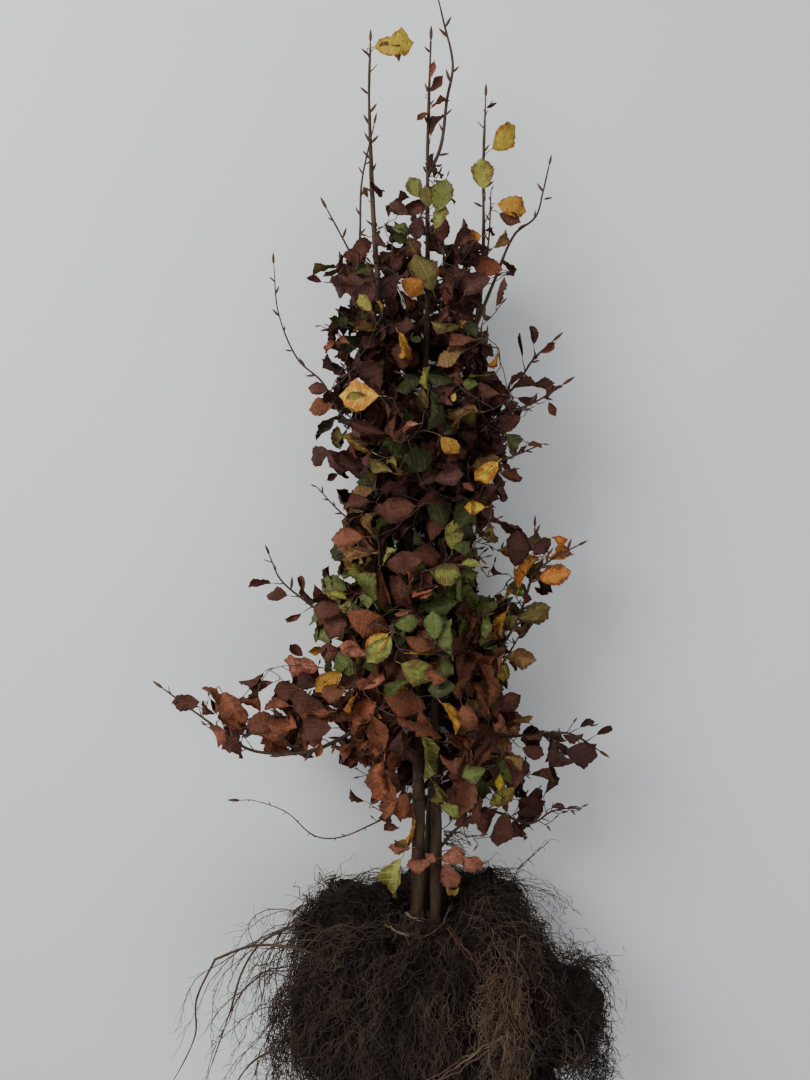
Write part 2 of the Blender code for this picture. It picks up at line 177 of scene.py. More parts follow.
# Masses that keep to colours of their own.
MASS_COLOURS = {
    "foliage_low_left_arm": {"copper": 6, "rust": 3, "mahogany": 5, "tan": 1},
    "foliage_low_left_tip": {"copper": 5, "mahogany": 5, "rust": 2},
    "foliage_low_right_tip": {"plum": 4, "mahogany": 5, "olive": 1},
    "foliage_low_right": {"mahogany": 5, "plum": 1, "copper": 4, "tan": 2, "salmon": 3, "moss": 2},
    "foliage_skirt_right": {"plum": 2, "mahogany": 7, "copper": 2, "moss": 1},
    "foliage_skirt_tip": {"mahogany": 5, "plum": 3, "deep_green": 1},
    "foliage_mid_right": {"mahogany": 3, "green": 4, "deep_green": 3, "copper": 2, "plum": 3, "olive": 2,
                          "tan": 1},
    "foliage_mid_spray": {"gold": 2, "orange": 2, "olive": 4, "lime": 1, "plum": 1, "tan": 2},
}
LEAF_SPACING = 0.016  # along a twig
MATCH_OF_SPRAY = 0.62  # the share of a spray's leaves that have the spray's own colour
SPRAYS_PER_LITRE = 17.0
LEAST_SPRAYS = 6  # in a small mass
MOST_TRIES = 20000  # at finding places for the sprays of one mass
SPRAY_SHARE = {"foliage_foot": 0.0, "foliage_mid_spray": 0.35, "foliage_low_left_tip": 0.9,
               "foliage_low_right_tip": 0.4, "foliage_low_left": 0.80, "foliage_skirt_left": 0.30,
               "foliage_skirt_right": 0.70, "foliage_crest_left": 0.80, "foliage_crest_right": 0.80,
               "foliage_crest_top": 0.80}
SPRAY_LEAVES = [3, 3, 4, 4, 5]  # as many leaves as one of these
LONE_MASS = 0.14  # a mass whose middle is further from the collar's line has a middle of its own
CROWN_RADIUS = 0.115
BARE_TIPS = 90  # twig tips with buds only, round the crown
# The fine tuft beside the foot of the stems: its twigs, where they start, and how far each goes at a step.
TUFT_TWIGS = 22
TUFT_ACROSS = 0.026
TUFT_HEIGHTS = (0.145, 0.175)
TUFT_OUT = 0.018
TUFT_STEP = 0.0075
# The height from which each stem or leader shows before the leaves.
BARE_ABOVE = {"stem_left": 0.900, "stem_right": 0.800, "stem_back": 0.890, "leader_twin": 0.990,
              "leader_curved": 0.960}
LOWEST_LEAF = 0.165
BARE_FOOT = (-0.030, 0.044, 0.390)  # the stems' bare foot: from, to, and up to this height
LOWEST_WOOD = COLLAR.y + 0.06  # no spray grows from lower wood

LEAF_ROWS = 12  # two for each pair of side veins
LEAF_COLUMNS = 4
# Shares of a leaf's length: half its width, its stalk, the height of its pleats.
LEAF_HALF_WIDTH = 0.33
STALK_LENGTH = 0.16
PLEAT = 0.020
# Shares of its half width: how far a tooth stands out, how far the notch beside it lies in, and how far a
# side vein runs up on its way to the margin.
TOOTH_OUT = 0.058
TOOTH_IN = -0.036
VEIN_SLANT = 0.36
# Each habit of leaf: fold at the rib, roll of the halves, wave of the margin, curl of the rib, crumpling, and
# how many leaves there are of it.
LEAF_HABITS = {
    "flat": (0.12, 0.05, 0.24, 0.30, 0.05, 6),
    "wavy": (0.24, -0.30, 0.32, 0.55, 0.08, 7),
    "cupped": (0.25, 0.75, 0.22, -0.80, 0.07, 6),
    "folded": (0.80, 0.15, 0.24, 0.45, 0.07, 7),
    "curled": (0.75, 0.90, 0.34, 1.70, 0.11, 8),
}
# The share of each habit among the leaves of a colour.
HABITS = {
    "plum": {"wavy": 3, "curled": 4, "cupped": 3, "folded": 5},
    "mahogany": {"wavy": 4, "curled": 4, "cupped": 3, "folded": 4},
    "copper": {"wavy": 5, "cupped": 3, "curled": 3, "folded": 3},
    "rust": {"wavy": 4, "cupped": 3, "curled": 3, "folded": 3},
    "green": {"flat": 3, "wavy": 4, "cupped": 2, "folded": 3},
    "deep_green": {"flat": 3, "wavy": 4, "cupped": 2, "folded": 2},
}
USUAL_HABITS = {"wavy": 4, "flat": 2, "cupped": 2, "curled": 3, "folded": 4}
LEAF_MIDDLE = 0.62  # from the foot of the stalk, as a share of the leaf's length
TWIG_ZIGZAG = 0.0011  # how far a twig's line steps from side to side
OUT_OF_REACH = 9.0  # further than anything on the plant
BEFORE_CROWN = 0.004  # how far a placed leaf hangs before the front of the crown's masses
BESIDE_MASSES = 0.012  # how far out from the collar something lies that shows beside the masses
LEAF_LENGTHS = [(0.27, 0.044), (0.45, 0.049), (0.62, 0.047), (0.80, 0.044), (1.00, 0.041), (1.40, 0.038)]

# Leaves whose place shows, by colour and habit: the pixel of the photograph where the blade starts, across
# and down, its heading in degrees from straight across, and its length in pixels. A leaf away from the front
# of the crown's masses also has how far out from the collar it hangs, in millimetres.
PLACED_LEAVES = {
    "plum": {
        "curled": [(372, 180, -62, 19, 8), (432, 180, -8, 12, 4), (485, 231, 0, 11, 10),
            (500, 262, -25, 20, 10), (478, 526, -50, 20, 20)],
        "folded": [(434, 178, 106, 21, 4), (505, 272, 8, 13, 10), (486, 522, 0, 17, 20),
            (508, 662, -42, 14, 20), (583, 741, -22, 17, 12)],
        "wavy": [(408, 214, 150, 22, 30), (421, 216, 250, 24, 30), (491, 278, 196, 36),
            (480, 508, -30, 19, 30), (565, 750, -14, 40, 16)],
        "cupped": [(507, 446, 200, 19, 20), (434, 480, 10, 36)],
        "flat": [(515, 567, 80, 38, 16), (533, 553, 36, 24, 20)],
    },
    "mahogany": {
        "folded": [(389, 218, 76, 17, 4), (431, 137, 70, 25, 2), (451, 250, 62, 34, 40),
            (388, 248, 128, 21, 20), (350, 284, 165, 22), (501, 395, 182, 33), (395, 418, 262, 22),
            (531, 361, 58, 11, 12), (511, 386, 48, 20, 12), (511, 389, 12, 29, 14),
            (546, 400, 52, 21, 26), (522, 411, 190, 24, 26), (318, 602, 150, 24, 20),
            (522, 586, -76, 22, 20), (562, 734, -10, 25, 12), (530, 775, -10, 30, 20),
            (498, 808, 236, 36, 40), (513, 820, -62, 28, 30), (479, 795, 254, 38, 60),
            (552, 808, 12, 14, 14), (216, 714, 145, 20, 40), (264, 672, 216, 30, 44),
            (242, 740, 264, 22, 46), (365, 801, 152, 21, 30), (468, 800, 265, 36, 30)],
        "cupped": [(430, 92, 35, 20, 6), (499, 213, -32, 27, 10), (322, 282, 172, 17, 20),
            (500, 464, -42, 14, 20), (549, 402, -62, 17, 26), (527, 446, 195, 12, 12),
            (338, 474, 202, 15, 20), (303, 656, 145, 21, 50), (341, 650, 185, 24, 60),
            (371, 804, 58, 19, 30), (518, 800, -10, 26, 26)],
        "curled": [(486, 108, 34, 13, 4), (503, 573, 170, 14, 16), (540, 733, -30, 20, 16),
            (274, 682, 206, 38, 44)],
        "wavy": [(440, 212, 275, 28, 30), (352, 250, 20, 22, 20), (328, 390, 172, 21, 20),
            (521, 417, 200, 26, 26), (416, 506, 190, 40), (341, 610, 178, 30), (496, 710, 28, 31, 30),
            (522, 748, -20, 26, 30), (505, 812, 261, 40, 40), (200, 702, 186, 33, 40),
            (332, 728, 182, 42, 60), (240, 738, 216, 25, 46), (300, 688, 190, 30, 60),
            (330, 640, 74, 34)],
        "flat": [(344, 654, 172, 27, 70), (324, 706, 168, 38)],
    },
    "copper": {
        "folded": [(431, 109, 36, 21, 6), (476, 340, 200, 34), (527, 446, 2, 16, 12), (488, 707, 94, 48),
            (396, 716, -20, 38), (398, 800, 232, 30, 50), (290, 706, 185, 30, 58)],
        "curled": [(399, 290, -58, 26), (350, 345, 152, 16), (218, 706, 112, 27, 46)],
        "cupped": [(541, 353, 46, 18, 12), (405, 637, -26, 30)],
        "wavy": [(363, 537, 180, 34), (462, 705, -70, 32), (243, 716, 148, 38, 50),
            (246, 727, 20, 32, 56), (276, 733, 150, 34, 56), (330, 712, 188, 44, 60),
            (222, 692, -58, 42, 52), (346, 688, 200, 30, 80)],
        "flat": [(260, 733, 12, 34, 58)],
    },
    "rust": {
        "cupped": [(428, 113, 222, 15, 6), (321, 742, 244, 17, 50), (368, 741, 215, 14, 50),
            (394, 749, 252, 24, 70), (393, 768, 100, 26, 60)],
        "flat": [(503, 270, 170, 31, 20)],
        "wavy": [(333, 405, 184, 26, 20), (347, 612, -28, 48), (383, 694, -26, 48),
            (406, 793, 250, 32, 50)],
        "curled": [(408, 585, 80, 16), (353, 741, 222, 29, 50), (410, 804, 262, 26, 50)],
        "folded": [(421, 707, -64, 42), (241, 732, 142, 31, 50)],
    },
    "salmon": {
        "cupped": [(430, 79, 62, 17, 2), (474, 491, 148, 16), (409, 611, 182, 16), (366, 655, 165, 26)],
        "curled": [(341, 345, 190, 22, 30), (434, 588, 204, 27)],
        "folded": [(419, 424, 200, 19), (498, 675, 80, 32, 50)],
        "wavy": [(431, 541, 72, 29), (319, 668, 178, 40, 50), (411, 848, 190, 26, 26),
            (460, 856, -36, 30, 26), (431, 862, 196, 28, 34)],
        "flat": [(497, 733, 82, 21, 40), (436, 862, 140, 14, 30), (441, 858, 8, 27, 30),
            (444, 863, -70, 34, 34), (362, 650, 172, 24)],
    },
    "tan": {
        "curled": [(377, 49, -4, 25, 8), (468, 322, 190, 10), (479, 412, 182, 34), (373, 534, 112, 24),
            (372, 553, 178, 34), (524, 617, 4, 28, 20), (512, 722, 8, 26, 20)],
        "cupped": [(368, 198, 100, 12, 4)],
        "folded": [(493, 248, 50, 24, 10), (524, 736, 4, 22, 20)],
        "wavy": [(461, 352, 205, 27), (373, 490, 188, 22), (505, 656, -8, 34, 20),
            (411, 842, 200, 21, 22)],
    },
    "orange": {
        "wavy": [(482, 236, 186, 22, 30), (401, 280, -30, 27)],
        "curled": [(547, 558, 28, 30, 20)],
        "flat": [(538, 579, 12, 37, 20)],
        "folded": [(519, 589, 68, 40, 24)],
        "cupped": [(327, 648, 172, 21, 50)],
    },
    "gold": {
        "wavy": [(497, 204, -8, 32, 18), (441, 437, -48, 25)],
        "curled": [(430, 281, 38, 20), (398, 332, -68, 32), (497, 352, 250, 19), (389, 697, 46, 24)],
        "folded": [(507, 611, 255, 36, 36), (441, 703, -56, 40), (356, 696, 248, 23, 70),
            (413, 818, 262, 32, 20)],
        "flat": [(342, 671, 214, 36, 70)],
    },
    "yellow": {
        "wavy": [(374, 47, 8, 40, 12), (492, 149, 38, 36, 10), (379, 396, 178, 43), (498, 462, 226, 31)],
        "flat": [(455, 393, 250, 9), (485, 507, 182, 21), (388, 634, 215, 30)],
        "curled": [(409, 653, 2, 31)],
        "cupped": [(500, 774, 262, 17)],
    },
    "lime": {
        "flat": [(485, 189, 98, 32, 14), (506, 662, 258, 22, 30), (514, 787, 222, 32)],
        "wavy": [(371, 311, 130, 22), (372, 400, 185, 30)],
        "folded": [(382, 312, 110, 12), (428, 390, 96, 25)],
        "curled": [(492, 374, 188, 25), (372, 452, 151, 35), (396, 468, 120, 14), (362, 556, 190, 22),
            (347, 599, 160, 24), (500, 600, 45, 18, 20), (446, 886, -40, 18, 32)],
    },
    "moss": {
        "flat": [(420, 198, 116, 24, 30), (437, 212, 76, 33, 48), (430, 571, -14, 33)],
        "wavy": [(435, 229, 70, 26, 50), (452, 550, 84, 31), (401, 664, -28, 40)],
        "folded": [(374, 603, 121, 42)],
    },
    "sage": {
        "folded": [(384, 563, 58, 20), (461, 565, 4, 21), (402, 858, 252, 48, 24),
            (420, 734, -74, 50, 50)],
        "flat": [(391, 636, 232, 39)],
        "curled": [(432, 781, -64, 32, 44)],
        "wavy": [(440, 805, -16, 30, 40)],
    },
    "olive": {
        "wavy": [(429, 208, 100, 26, 46), (433, 291, 112, 46, 40), (518, 618, 12, 37, 26),
            (518, 616, 215, 24, 30)],
        "folded": [(409, 237, -66, 18, 40), (461, 325, 180, 31)],
        "curled": [(393, 473, 166, 34)],
    },
    "green": {
        "wavy": [(392, 228, 2, 18, 20), (478, 384, 180, 16), (435, 640, 95, 30), (395, 625, 5, 26),
            (498, 603, 206, 26, 30)],
        "flat": [(410, 339, 0, 12), (486, 769, 198, 27)],
        "folded": [(452, 655, 102, 38), (412, 680, 210, 34)],
    },
    "deep_green": {
        "flat": [(391, 237, -8, 18, 20)],
        "folded": [(430, 390, -85, 42)],
        "wavy": [(456, 686, 186, 31)],
    },
}
# Where daylight shows beside and through the crown: boxes of the photograph's pixels, left, top, right and
# bottom. Only the placed leaves may hang there.
OPEN_PLACES = [
    (120, 640, 214, 800), (214, 746, 330, 806), (328, 760, 378, 802), (328, 800, 386, 884),
    (380, 834, 410, 848), (444, 824, 480, 856), (466, 844, 600, 880), (538, 786, 600, 860),
    (560, 756, 640, 880), (536, 640, 640, 722), (468, 540, 513, 600), (484, 505, 513, 545),
    (505, 662, 560, 712), (500, 630, 545, 648), (484, 300, 520, 374), (498, 410, 545, 438),
    (336, 205, 362, 240), (312, 545, 330, 580), (452, 186, 500, 232), (246, 530, 300, 574),
    (532, 500, 600, 530), (512, 278, 560, 320), (300, 0, 640, 162), (446, 162, 480, 184),
]
# The shortest and the longest bud at the tip of a twig, of a limb, along a side twig and on a bare tip.
TWIG_BUDS = (0.009, 0.014)
LIMB_BUDS = (0.016, 0.021)
SIDE_TWIG_BUDS = (0.007, 0.012)
BARE_TIP_BUDS = (0.007, 0.013)
# How far a placed leaf may be turned from flat on, in degrees.
HABIT_TURNS = {"flat": (-14, 14), "wavy": (-24, 24), "cupped": (-30, 30), "folded": (38, 62),
               "curled": (20, 50)}

# Roots whose place shows: the pixels that their line passes, across and down, how many, how far they spread
# from it, their radius, their shade. A pixel away from the front of the root masses also has how far out from
# the collar the line lies there, in millimetres. The spread and the radius are in metres.
ROOT_STRANDS = [
    ([(386, 925), (398, 933), (412, 934, 56)], 2, 0.0014, 0.0012, "pale"),
    ([(412, 935, 56), (422, 938, 50), (440, 927, 44), (449, 908, 30)], 2, 0.0016, 0.0007, "tan"),
    ([(404, 911, 30), (415, 919, 30), (430, 921, 30)], 2, 0.0020, 0.0009, "pale"),
    ([(446, 921), (460, 942), (482, 969), (499, 1002), (506, 1032)], 3, 0.0030, 0.0012, "red"),
    ([(507, 1034), (482, 1049), (455, 1068), (428, 1083)], 3, 0.0030, 0.0018, "tan"),
    ([(500, 950), (502, 986), (496, 1022), (500, 1061), (494, 1089)], 55, 0.0110, 0.0005, "tan"),
    ([(512, 955), (511, 991), (517, 1032), (512, 1076), (518, 1096)], 48, 0.0120, 0.0005, "tan"),
    ([(488, 960), (490, 1001), (484, 1041), (488, 1078)], 34, 0.0110, 0.0005, "tan"),
    ([(350, 891, 0), (360, 879, 10), (378, 874, 10), (396, 880, 10), (404, 896, 20)],
     4, 0.0035, 0.0010, "dark"),
    ([(337, 901, 20), (352, 884, 20), (370, 881, 20), (388, 892, 20)], 4, 0.0040, 0.0009, "dark"),
    ([(419, 930), (420, 965, 62), (418, 1022, 124), (424, 1078)], 60, 0.0110, 0.0007, "brown"),
    ([(380, 927, 36), (409, 943, 40), (439, 945, 42), (469, 927, 36)], 90, 0.0110, 0.0006, "brown"),
    ([(417, 917, 26), (417, 945), (415, 991, 80)], 40, 0.0080, 0.0007, "brown"),
    ([(436, 917, 26), (438, 945, 42), (443, 992, 82)], 40, 0.0080, 0.0007, "brown"),
    ([(544, 972, 60), (576, 1004, 58), (592, 1046, 50), (596, 1079, 40)], 110, 0.0170, 0.0006, "dark"),
    ([(552, 1003, 70), (572, 1038, 60), (579, 1075, 45)], 60, 0.0170, 0.0006, "brown"),
    ([(341, 968, 80), (308, 1010, 70), (291, 1047, 52), (281, 1083, 36)], 90, 0.0180, 0.0006, "dark"),
    ([(348, 986, 90), (314, 1026, 76), (299, 1064, 60), (293, 1098, 40)], 80, 0.0170, 0.0007, "brown"),
    ([(381, 925, 24), (409, 940, 26), (442, 941, 28), (473, 925, 24)], 90, 0.0130, 0.0006, "dark"),
    ([(511, 895, 10), (517, 870, 10), (529, 856, 10), (546, 840, 10)], 3, 0.0016, 0.0008, "dark"),
    ([(505, 886), (530, 884, 20), (552, 891, 20), (563, 899, 20), (567, 911, 20)],
     5, 0.0040, 0.0006, "dark"),
    ([(528, 895), (545, 900, 20), (556, 915, 20)], 5, 0.0040, 0.0006, "dark"),
    ([(557, 968, 50), (592, 963, 50), (604, 962, 50), (611, 983, 45), (615, 996, 40)],
     9, 0.0055, 0.0006, "dark"),
    ([(470, 928), (500, 936), (531, 962), (549, 1002), (560, 1051)], 40, 0.0120, 0.0006, "brown"),
    ([(438, 938, 40), (444, 976, 90), (439, 1016), (440, 1042), (436, 1082)], 60, 0.0110, 0.0007, "brown"),
    ([(425, 932, 30), (405, 953), (380, 986), (368, 1031), (360, 1081)], 60, 0.0120, 0.0007, "brown"),
    ([(410, 923), (380, 927), (345, 937), (318, 957), (299, 995, 60), (289, 1032)],
     40, 0.0110, 0.0007, "brown"),
    ([(556, 1012, 44), (582, 1046, 38), (602, 1084, 30)], 110, 0.0150, 0.0006, "dark"),
    ([(566, 1030, 52), (588, 1062, 44), (600, 1090, 34)], 50, 0.0140, 0.0006, "brown"),
    ([(503, 919, 60), (531, 939, 60), (563, 956, 45), (596, 969, 35), (612, 986, 30)],
     50, 0.0130, 0.0005, "dark"),
]
# Thicker roots that carry the stems on into the tangle: points and radius at the foot, in millimetres.
MAIN_ROOT_TIP = 1
MAIN_ROOTS = [
    ([(-13, 30, 4), (-17, -15, 26), (-24, -60, 82), (-22, -115, 126)], 6.2),
    ([(-12, 25, 6), (-34, -2, 40), (-62, -45, 92), (-78, -105, 118)], 4),
    ([(14, 30, 8), (17, -15, 30), (16, -60, 88), (24, -120, 130)], 5.6),
    ([(14, 25, 8), (36, 0, 44), (56, -40, 96), (60, -110, 138)], 4),
    ([(0, 20, 4), (1, -20, 34), (-2, -70, 92), (4, -125, 128)], 4.4),
]
# How many there are of each kind of fine root, the shortest and the longest, the thinnest and the thickest.
STRANDS = 400
STRAND_LENGTHS = (0.050, 0.140)
STRAND_FIBRES = (8, 18)
COAT_FIBRES = 5200
COAT_LENGTHS = (0.025, 0.070)
COAT_RADII = (0.00038, 0.00068)
LOOSE_ENDS = 520
LOOSE_LENGTHS = (0.02, 0.055)
LOOSE_RADII = (0.0003, 0.0007)
RUNNERS = 60
RUNNER_LENGTHS = (0.14, 0.32)
RUNNER_RADII = (0.0009, 0.0026)
FAN_ROOTS = 44
FAN_LENGTHS = (0.16, 0.33)
FAN_RADII = (0.0006, 0.0014)
# Where the roots of the trailing fan start: across, the highest of them, and how far below it the lowest.
FAN_ACROSS = -0.145
FAN_TOP = 0.055
FAN_FALL = 0.165
PIECE_FIBRES = 3300  # in one joined piece
FIBRE_STEPS = 6
LONG_STEPS = 16  # of a runner or a root of the fan
UNDERSIDE = -0.55  # no fibre starts where the skin of the roots faces down more than this
DRY_PATCH = (0.05, 0.15, 0.05, 0.06)  # where tan strands gather: from, to, below, and at least so far out
TRAIL_THINNESS = 0.62  # the trailing root limbs are finer than their solids
HEART_CELL = 0.008  # of the skin that the root masses run together in
MASS_SWELL = 1.05  # enough for the separate root masses to run together
HEART_DEPTH = 0.026  # how far the heart of the roots is drawn in
HEART_LUMPS = [(12, 0.018), (38, 0.011), (80, 0.006)]  # the noise on it: fineness, height

# Bark relief: how round the limb is, the distance between its rings, the height of its lumps, and how many
# rings lie from one bud scar to the next.
STEM_RELIEF = (6, 0.006, 0.00075, 16)
BOUGH_RELIEF = (3, 0.005, 0.00022, 5)
ROOT_RELIEF = (3, 0.006, 0.0005, 0)
SCAR_SWELLING = 0.07  # of the limb's radius

NOISE_SEED = 7  # without it the vector noise that leads the roots would differ from run to run
VIEWER = Vector((-0.030, 0.715, 1.200))  # the camera in the plant's own frame
TILT = math.radians(5.57)
LENS = 28.0
SENSOR = 36.0
PHOTO_WIDTH = 810
PHOTO_HEIGHT = 1080
FOCUS = PHOTO_HEIGHT * LENS / SENSOR  # in pixels


def pick(shares, rng):
    """One of a table's names, each as likely as its share."""
    return rng.choices(list(shares), list(shares.values()))[0]


def scatter(rng, spread, spread_out=None):
    """A random step. It may have a spread of its own out from the floor."""
    return Vector((rng.gauss(0, spread), rng.gauss(0, spread), rng.gauss(0, spread_out or spread)))


def in_row(point):
    return COLLAR + Vector(point)


def height_of(point):
    """How far up the stems a point lies."""
    return point.y - COLLAR.y


def nodes_of(kind):
    """The CAD nodes whose names start so."""
    return sorted(node for node in frame["nodes"] if node.startswith(kind))


def put_in_scene(name, data):
    thing = bpy.data.objects.new(name, data)
    bpy.context.scene.collection.objects.link(thing)
    return thing


def finished_mesh(guide):
    """The mesh that a curve or a modifier makes. Its guide is removed."""
    graph = bpy.context.evaluated_depsgraph_get()
    mesh = bpy.data.meshes.new_from_object(guide.evaluated_get(graph))
    bpy.data.objects.remove(guide)
    return mesh


def skin_tree(*meshes):
    """One tree of the faces of all these meshes, which finds the nearest place and what a ray meets."""
    points = []
    faces = []
    for mesh in meshes:
        faces += [tuple(len(points) + index for index in face.vertices) for face in mesh.polygons]
        points += [vert.co.copy() for vert in mesh.vertices]
    return BVHTree.FromPolygons(points, faces)


def skin_of(kind):
    """One tree of the skins of the CAD nodes whose names start so."""
    return skin_tree(*(frame["nodes"][node].data for node in nodes_of(kind)))


def smooth_line(points, spacing):
    """Points at even distances along one smooth curve through the given ones."""
    knots = [Vector(point) for point in points]
    run = [2 * knots[0] - knots[1], *knots, 2 * knots[-1] - knots[-2]]
    fine = []
    for before, start, end, after in zip(run, run[1:], run[2:], run[3:]):
        third = (end - start).length / 3
        leave = start + (end - before).normalized() * third
        arrive = end - (after - start).normalized() * third
        fine += interpolate_bezier(start, leave, arrive, end, 13)[:-1]
    fine.append(knots[-1])
    reach = [0.0]
    for a, b in zip(fine, fine[1:]):
        reach.append(reach[-1] + (b - a).length)
    spans = max(3, math.ceil(reach[-1] / spacing))
    wanted = np.linspace(0, reach[-1], spans + 1)
    columns = [np.interp(wanted, reach, [point[k] for point in fine]) for k in range(3)]
    return [Vector(place) for place in zip(*columns)]


def way_at(line, i):
    """Which way a line runs as it comes to one of its points."""
    return (line[i] - line[i - 1]).normalized()


def tapered(count, foot, tip):
    return [tip + (foot - tip) * (1 - i / (count - 1)) ** THINNING for i in range(count)]


def limb_route(limb, spacing, thinness=1.0):
    """A limb's points in the row's frame and their radii, in metres."""
    points, foot, tip = limb
    knots = [[part / 1000 for part in point] for point in points]
    line = [in_row(point) for point in smooth_line(knots, spacing)]
    return line, tapered(len(line), foot / 1000 * thinness, tip / 1000 * thinness)


class Signal:
    """A number that varies over a surface. Python's operators add the Math nodes."""

    def __init__(self, finish, socket):
        self.finish = finish
        self.socket = socket

    def math(self, operation, *others):
        values = dict(enumerate([self, *others]))
        return self.finish.node("ShaderNodeMath", {"operation": operation}, values)

    def __add__(self, other):
        return self.math("ADD", other)

    def __mul__(self, other):
        return self.math("MULTIPLY", other)

    def __sub__(self, other):
        return self.math("SUBTRACT", other)

    def __rsub__(self, other):
        return self.finish.node("ShaderNodeMath", {"operation": "SUBTRACT"}, {0: other, 1: self})

    def __pow__(self, other):
        return self.math("POWER", other)

    def __abs__(self):
        return self.math("ABSOLUTE")

    __radd__ = __add__
    __rmul__ = __mul__

    def kept_in(self, low, high):
        return self.math("MAXIMUM", low).math("MINIMUM", high)


class Finish:
    """A material being made. Its shader's uniform numbers are given by the sockets' own names."""

    def __init__(self, name, uniform):
        self.material = bpy.data.materials.new(name)
        self.material.use_nodes = True
        self.tree = self.material.node_tree
        self.shader = self.tree.nodes["Principled BSDF"]
        for socket, value in uniform.items():
            self.put(value, self.shader.inputs[socket])

    def put(self, value, socket):
        if isinstance(value, Signal):
            self.tree.links.new(value.socket, socket)
        elif isinstance(value, tuple) and len(value) == 3 and len(socket.default_value) == 4:
            socket.default_value = (*value, 1.0)
        else:
            socket.default_value = value

    def node(self, kind, settings, inputs, output=0):
        made = self.tree.nodes.new(kind)
        for name, value in settings.items():
            if name == "stops":
                self.set_stops(made.color_ramp, value)
            else:
                setattr(made, name, value)
        for name, value in inputs.items():
            self.put(value, made.inputs[name])
        return Signal(self, made.outputs[output])

    def set_stops(self, ramp, stops):
        while len(ramp.elements) < len(stops):
            ramp.elements.new(1.0)
        for element, (place, colour) in zip(ramp.elements, stops):
            element.position = place
            element.color = (*colour, 1.0)

    def mix(self, share, first, second):
        inputs = {0: share, 6: first, 7: second}
        return self.node("ShaderNodeMix", {"data_type": "RGBA"}, inputs, output=2)

    def place(self, scale=(1, 1, 1)):
        spot = self.node("ShaderNodeTexCoord", {}, {}, output="Object")
        return self.node("ShaderNodeMapping", {}, {"Vector": spot, "Scale": scale})

    def speckle(self, place, scale, detail=3.0):
        inputs = {"Vector": place, "Scale": scale, "Detail": detail, "Roughness": 0.55}
        return self.node("ShaderNodeTexNoise", {}, inputs)

    def surface(self, **links):
        names = {"colour": "Base Color", "roughness": "Roughness", "normal": "Normal"}
        for name, value in links.items():
            self.put(value, self.shader.inputs[names[name]])
        return self.material

    def bump(self, height, distance, strength):
        inputs = {"Height": height, "Distance": distance, "Strength": strength}
        return self.node("ShaderNodeBump", {}, inputs)


def leaf_finish(name, main, turned, blotches, specks, roughness):
    """A leaf's colour with blotches, a turned margin, brown specks, pale veins and its own brightness."""
    finish = Finish(name, {"Specular IOR Level": 0.17})
    spot = finish.node("ShaderNodeUVMap", {"uv_map": "leaf"}, {})
    across = finish.node("ShaderNodeSeparateXYZ", {}, {0: spot}, output=0)
    along = finish.node("ShaderNodeSeparateXYZ", {}, {0: spot}, output=1)
    own = finish.node("ShaderNodeAttribute", {"attribute_name": "own"}, {}, output="Fac")
    off_rib = abs(across * 2 - 1)
    rib = (1 - off_rib * 13).kept_in(0, 1)
    side_veins = ((along * (math.tau * LEAF_ROWS / 2)).math("COSINE") * 5 - 4).kept_in(0, 1)
    veins = rib.math("MAXIMUM", side_veins * 0.7)
    place = finish.place()
    cloud = finish.speckle(place, 95.0)
    grain = finish.speckle(place, 950.0, detail=2.0)
    mottle = finish.speckle(place, 260.0)
    margin = off_rib**3 * 0.45
    turning = ((cloud + margin + own * 0.35 - (1.10 - blotches * 0.75)) * 6).kept_in(0, 1)
    colour = finish.mix(turning, main, turned)
    pale = tuple(min(1.0, part * 1.7 + 0.014) for part in main)
    colour = finish.mix(veins * 0.6, colour, pale)
    if specks:
        dots = finish.speckle(place, 420.0, detail=1.0)
        dotted = ((dots + cloud * 0.35 - (0.86 - specks * 0.08)) * 12).kept_in(0, 1)
        colour = finish.mix(dotted * 0.75, colour, SPECK_BROWN)
    light = own * 0.75 + grain * 0.30 + mottle * 0.90 + 0.02
    settings = {"data_type": "RGBA", "blend_type": "MULTIPLY"}
    colour = finish.node("ShaderNodeMix", settings, {0: 1.0, 6: colour, 7: light}, output=2)
    shine = roughness + (grain - 0.5) * 0.25
    height = grain * 0.35 + mottle * 0.9 - veins
    return finish.surface(colour=colour, roughness=shine, normal=finish.bump(height, 0.0009, 1.0))


def bark_finish(name, base, dark, pale, scale):
    """Smooth bark: cloudy colour, thin cross marks and small pale breathing pores."""
    finish = Finish(name, {"Specular IOR Level": 0.3})
    cloud = finish.speckle(finish.place((1.0, 0.35, 1.0)), 55.0 * scale)
    rings = finish.speckle(finish.place((0.35, 3.0, 0.35)), 190.0 * scale, detail=4.0)
    cells = {"Vector": finish.place((0.55, 1.5, 0.8)), "Scale": 150.0 * scale}
    pore = (1 - finish.node("ShaderNodeTexVoronoi", {}, cells) * 5.5).kept_in(0, 1)
    streaks = finish.speckle(finish.place((1.0, 0.05, 1.0)), 330.0 * scale)
    colour = finish.mix((cloud * 3 - 1).kept_in(0, 1), dark, base)
    colour = finish.mix((streaks * 5 - 2.3).kept_in(0, 1) * 0.65, colour, dark)
    colour = finish.mix((rings * 4 - 2.2).kept_in(0, 1) * 0.5, colour, dark)
    colour = finish.mix(pore * 0.55, colour, pale)
    relief = finish.bump(cloud * 0.4 + rings * 0.5 + pore, 0.0006, 0.8)
    return finish.surface(colour=colour, roughness=0.55 + rings * 0.3, normal=relief)


def stem_bark():
    return bark_finish("stem_bark", (0.080, 0.045, 0.021), (0.026, 0.015, 0.008), (0.165, 0.112, 0.062), 1.0)


def twig_bark():
    return bark_finish("twig_bark", (0.075, 0.040, 0.028), (0.028, 0.015, 0.012), (0.19, 0.13, 0.09), 1.6)


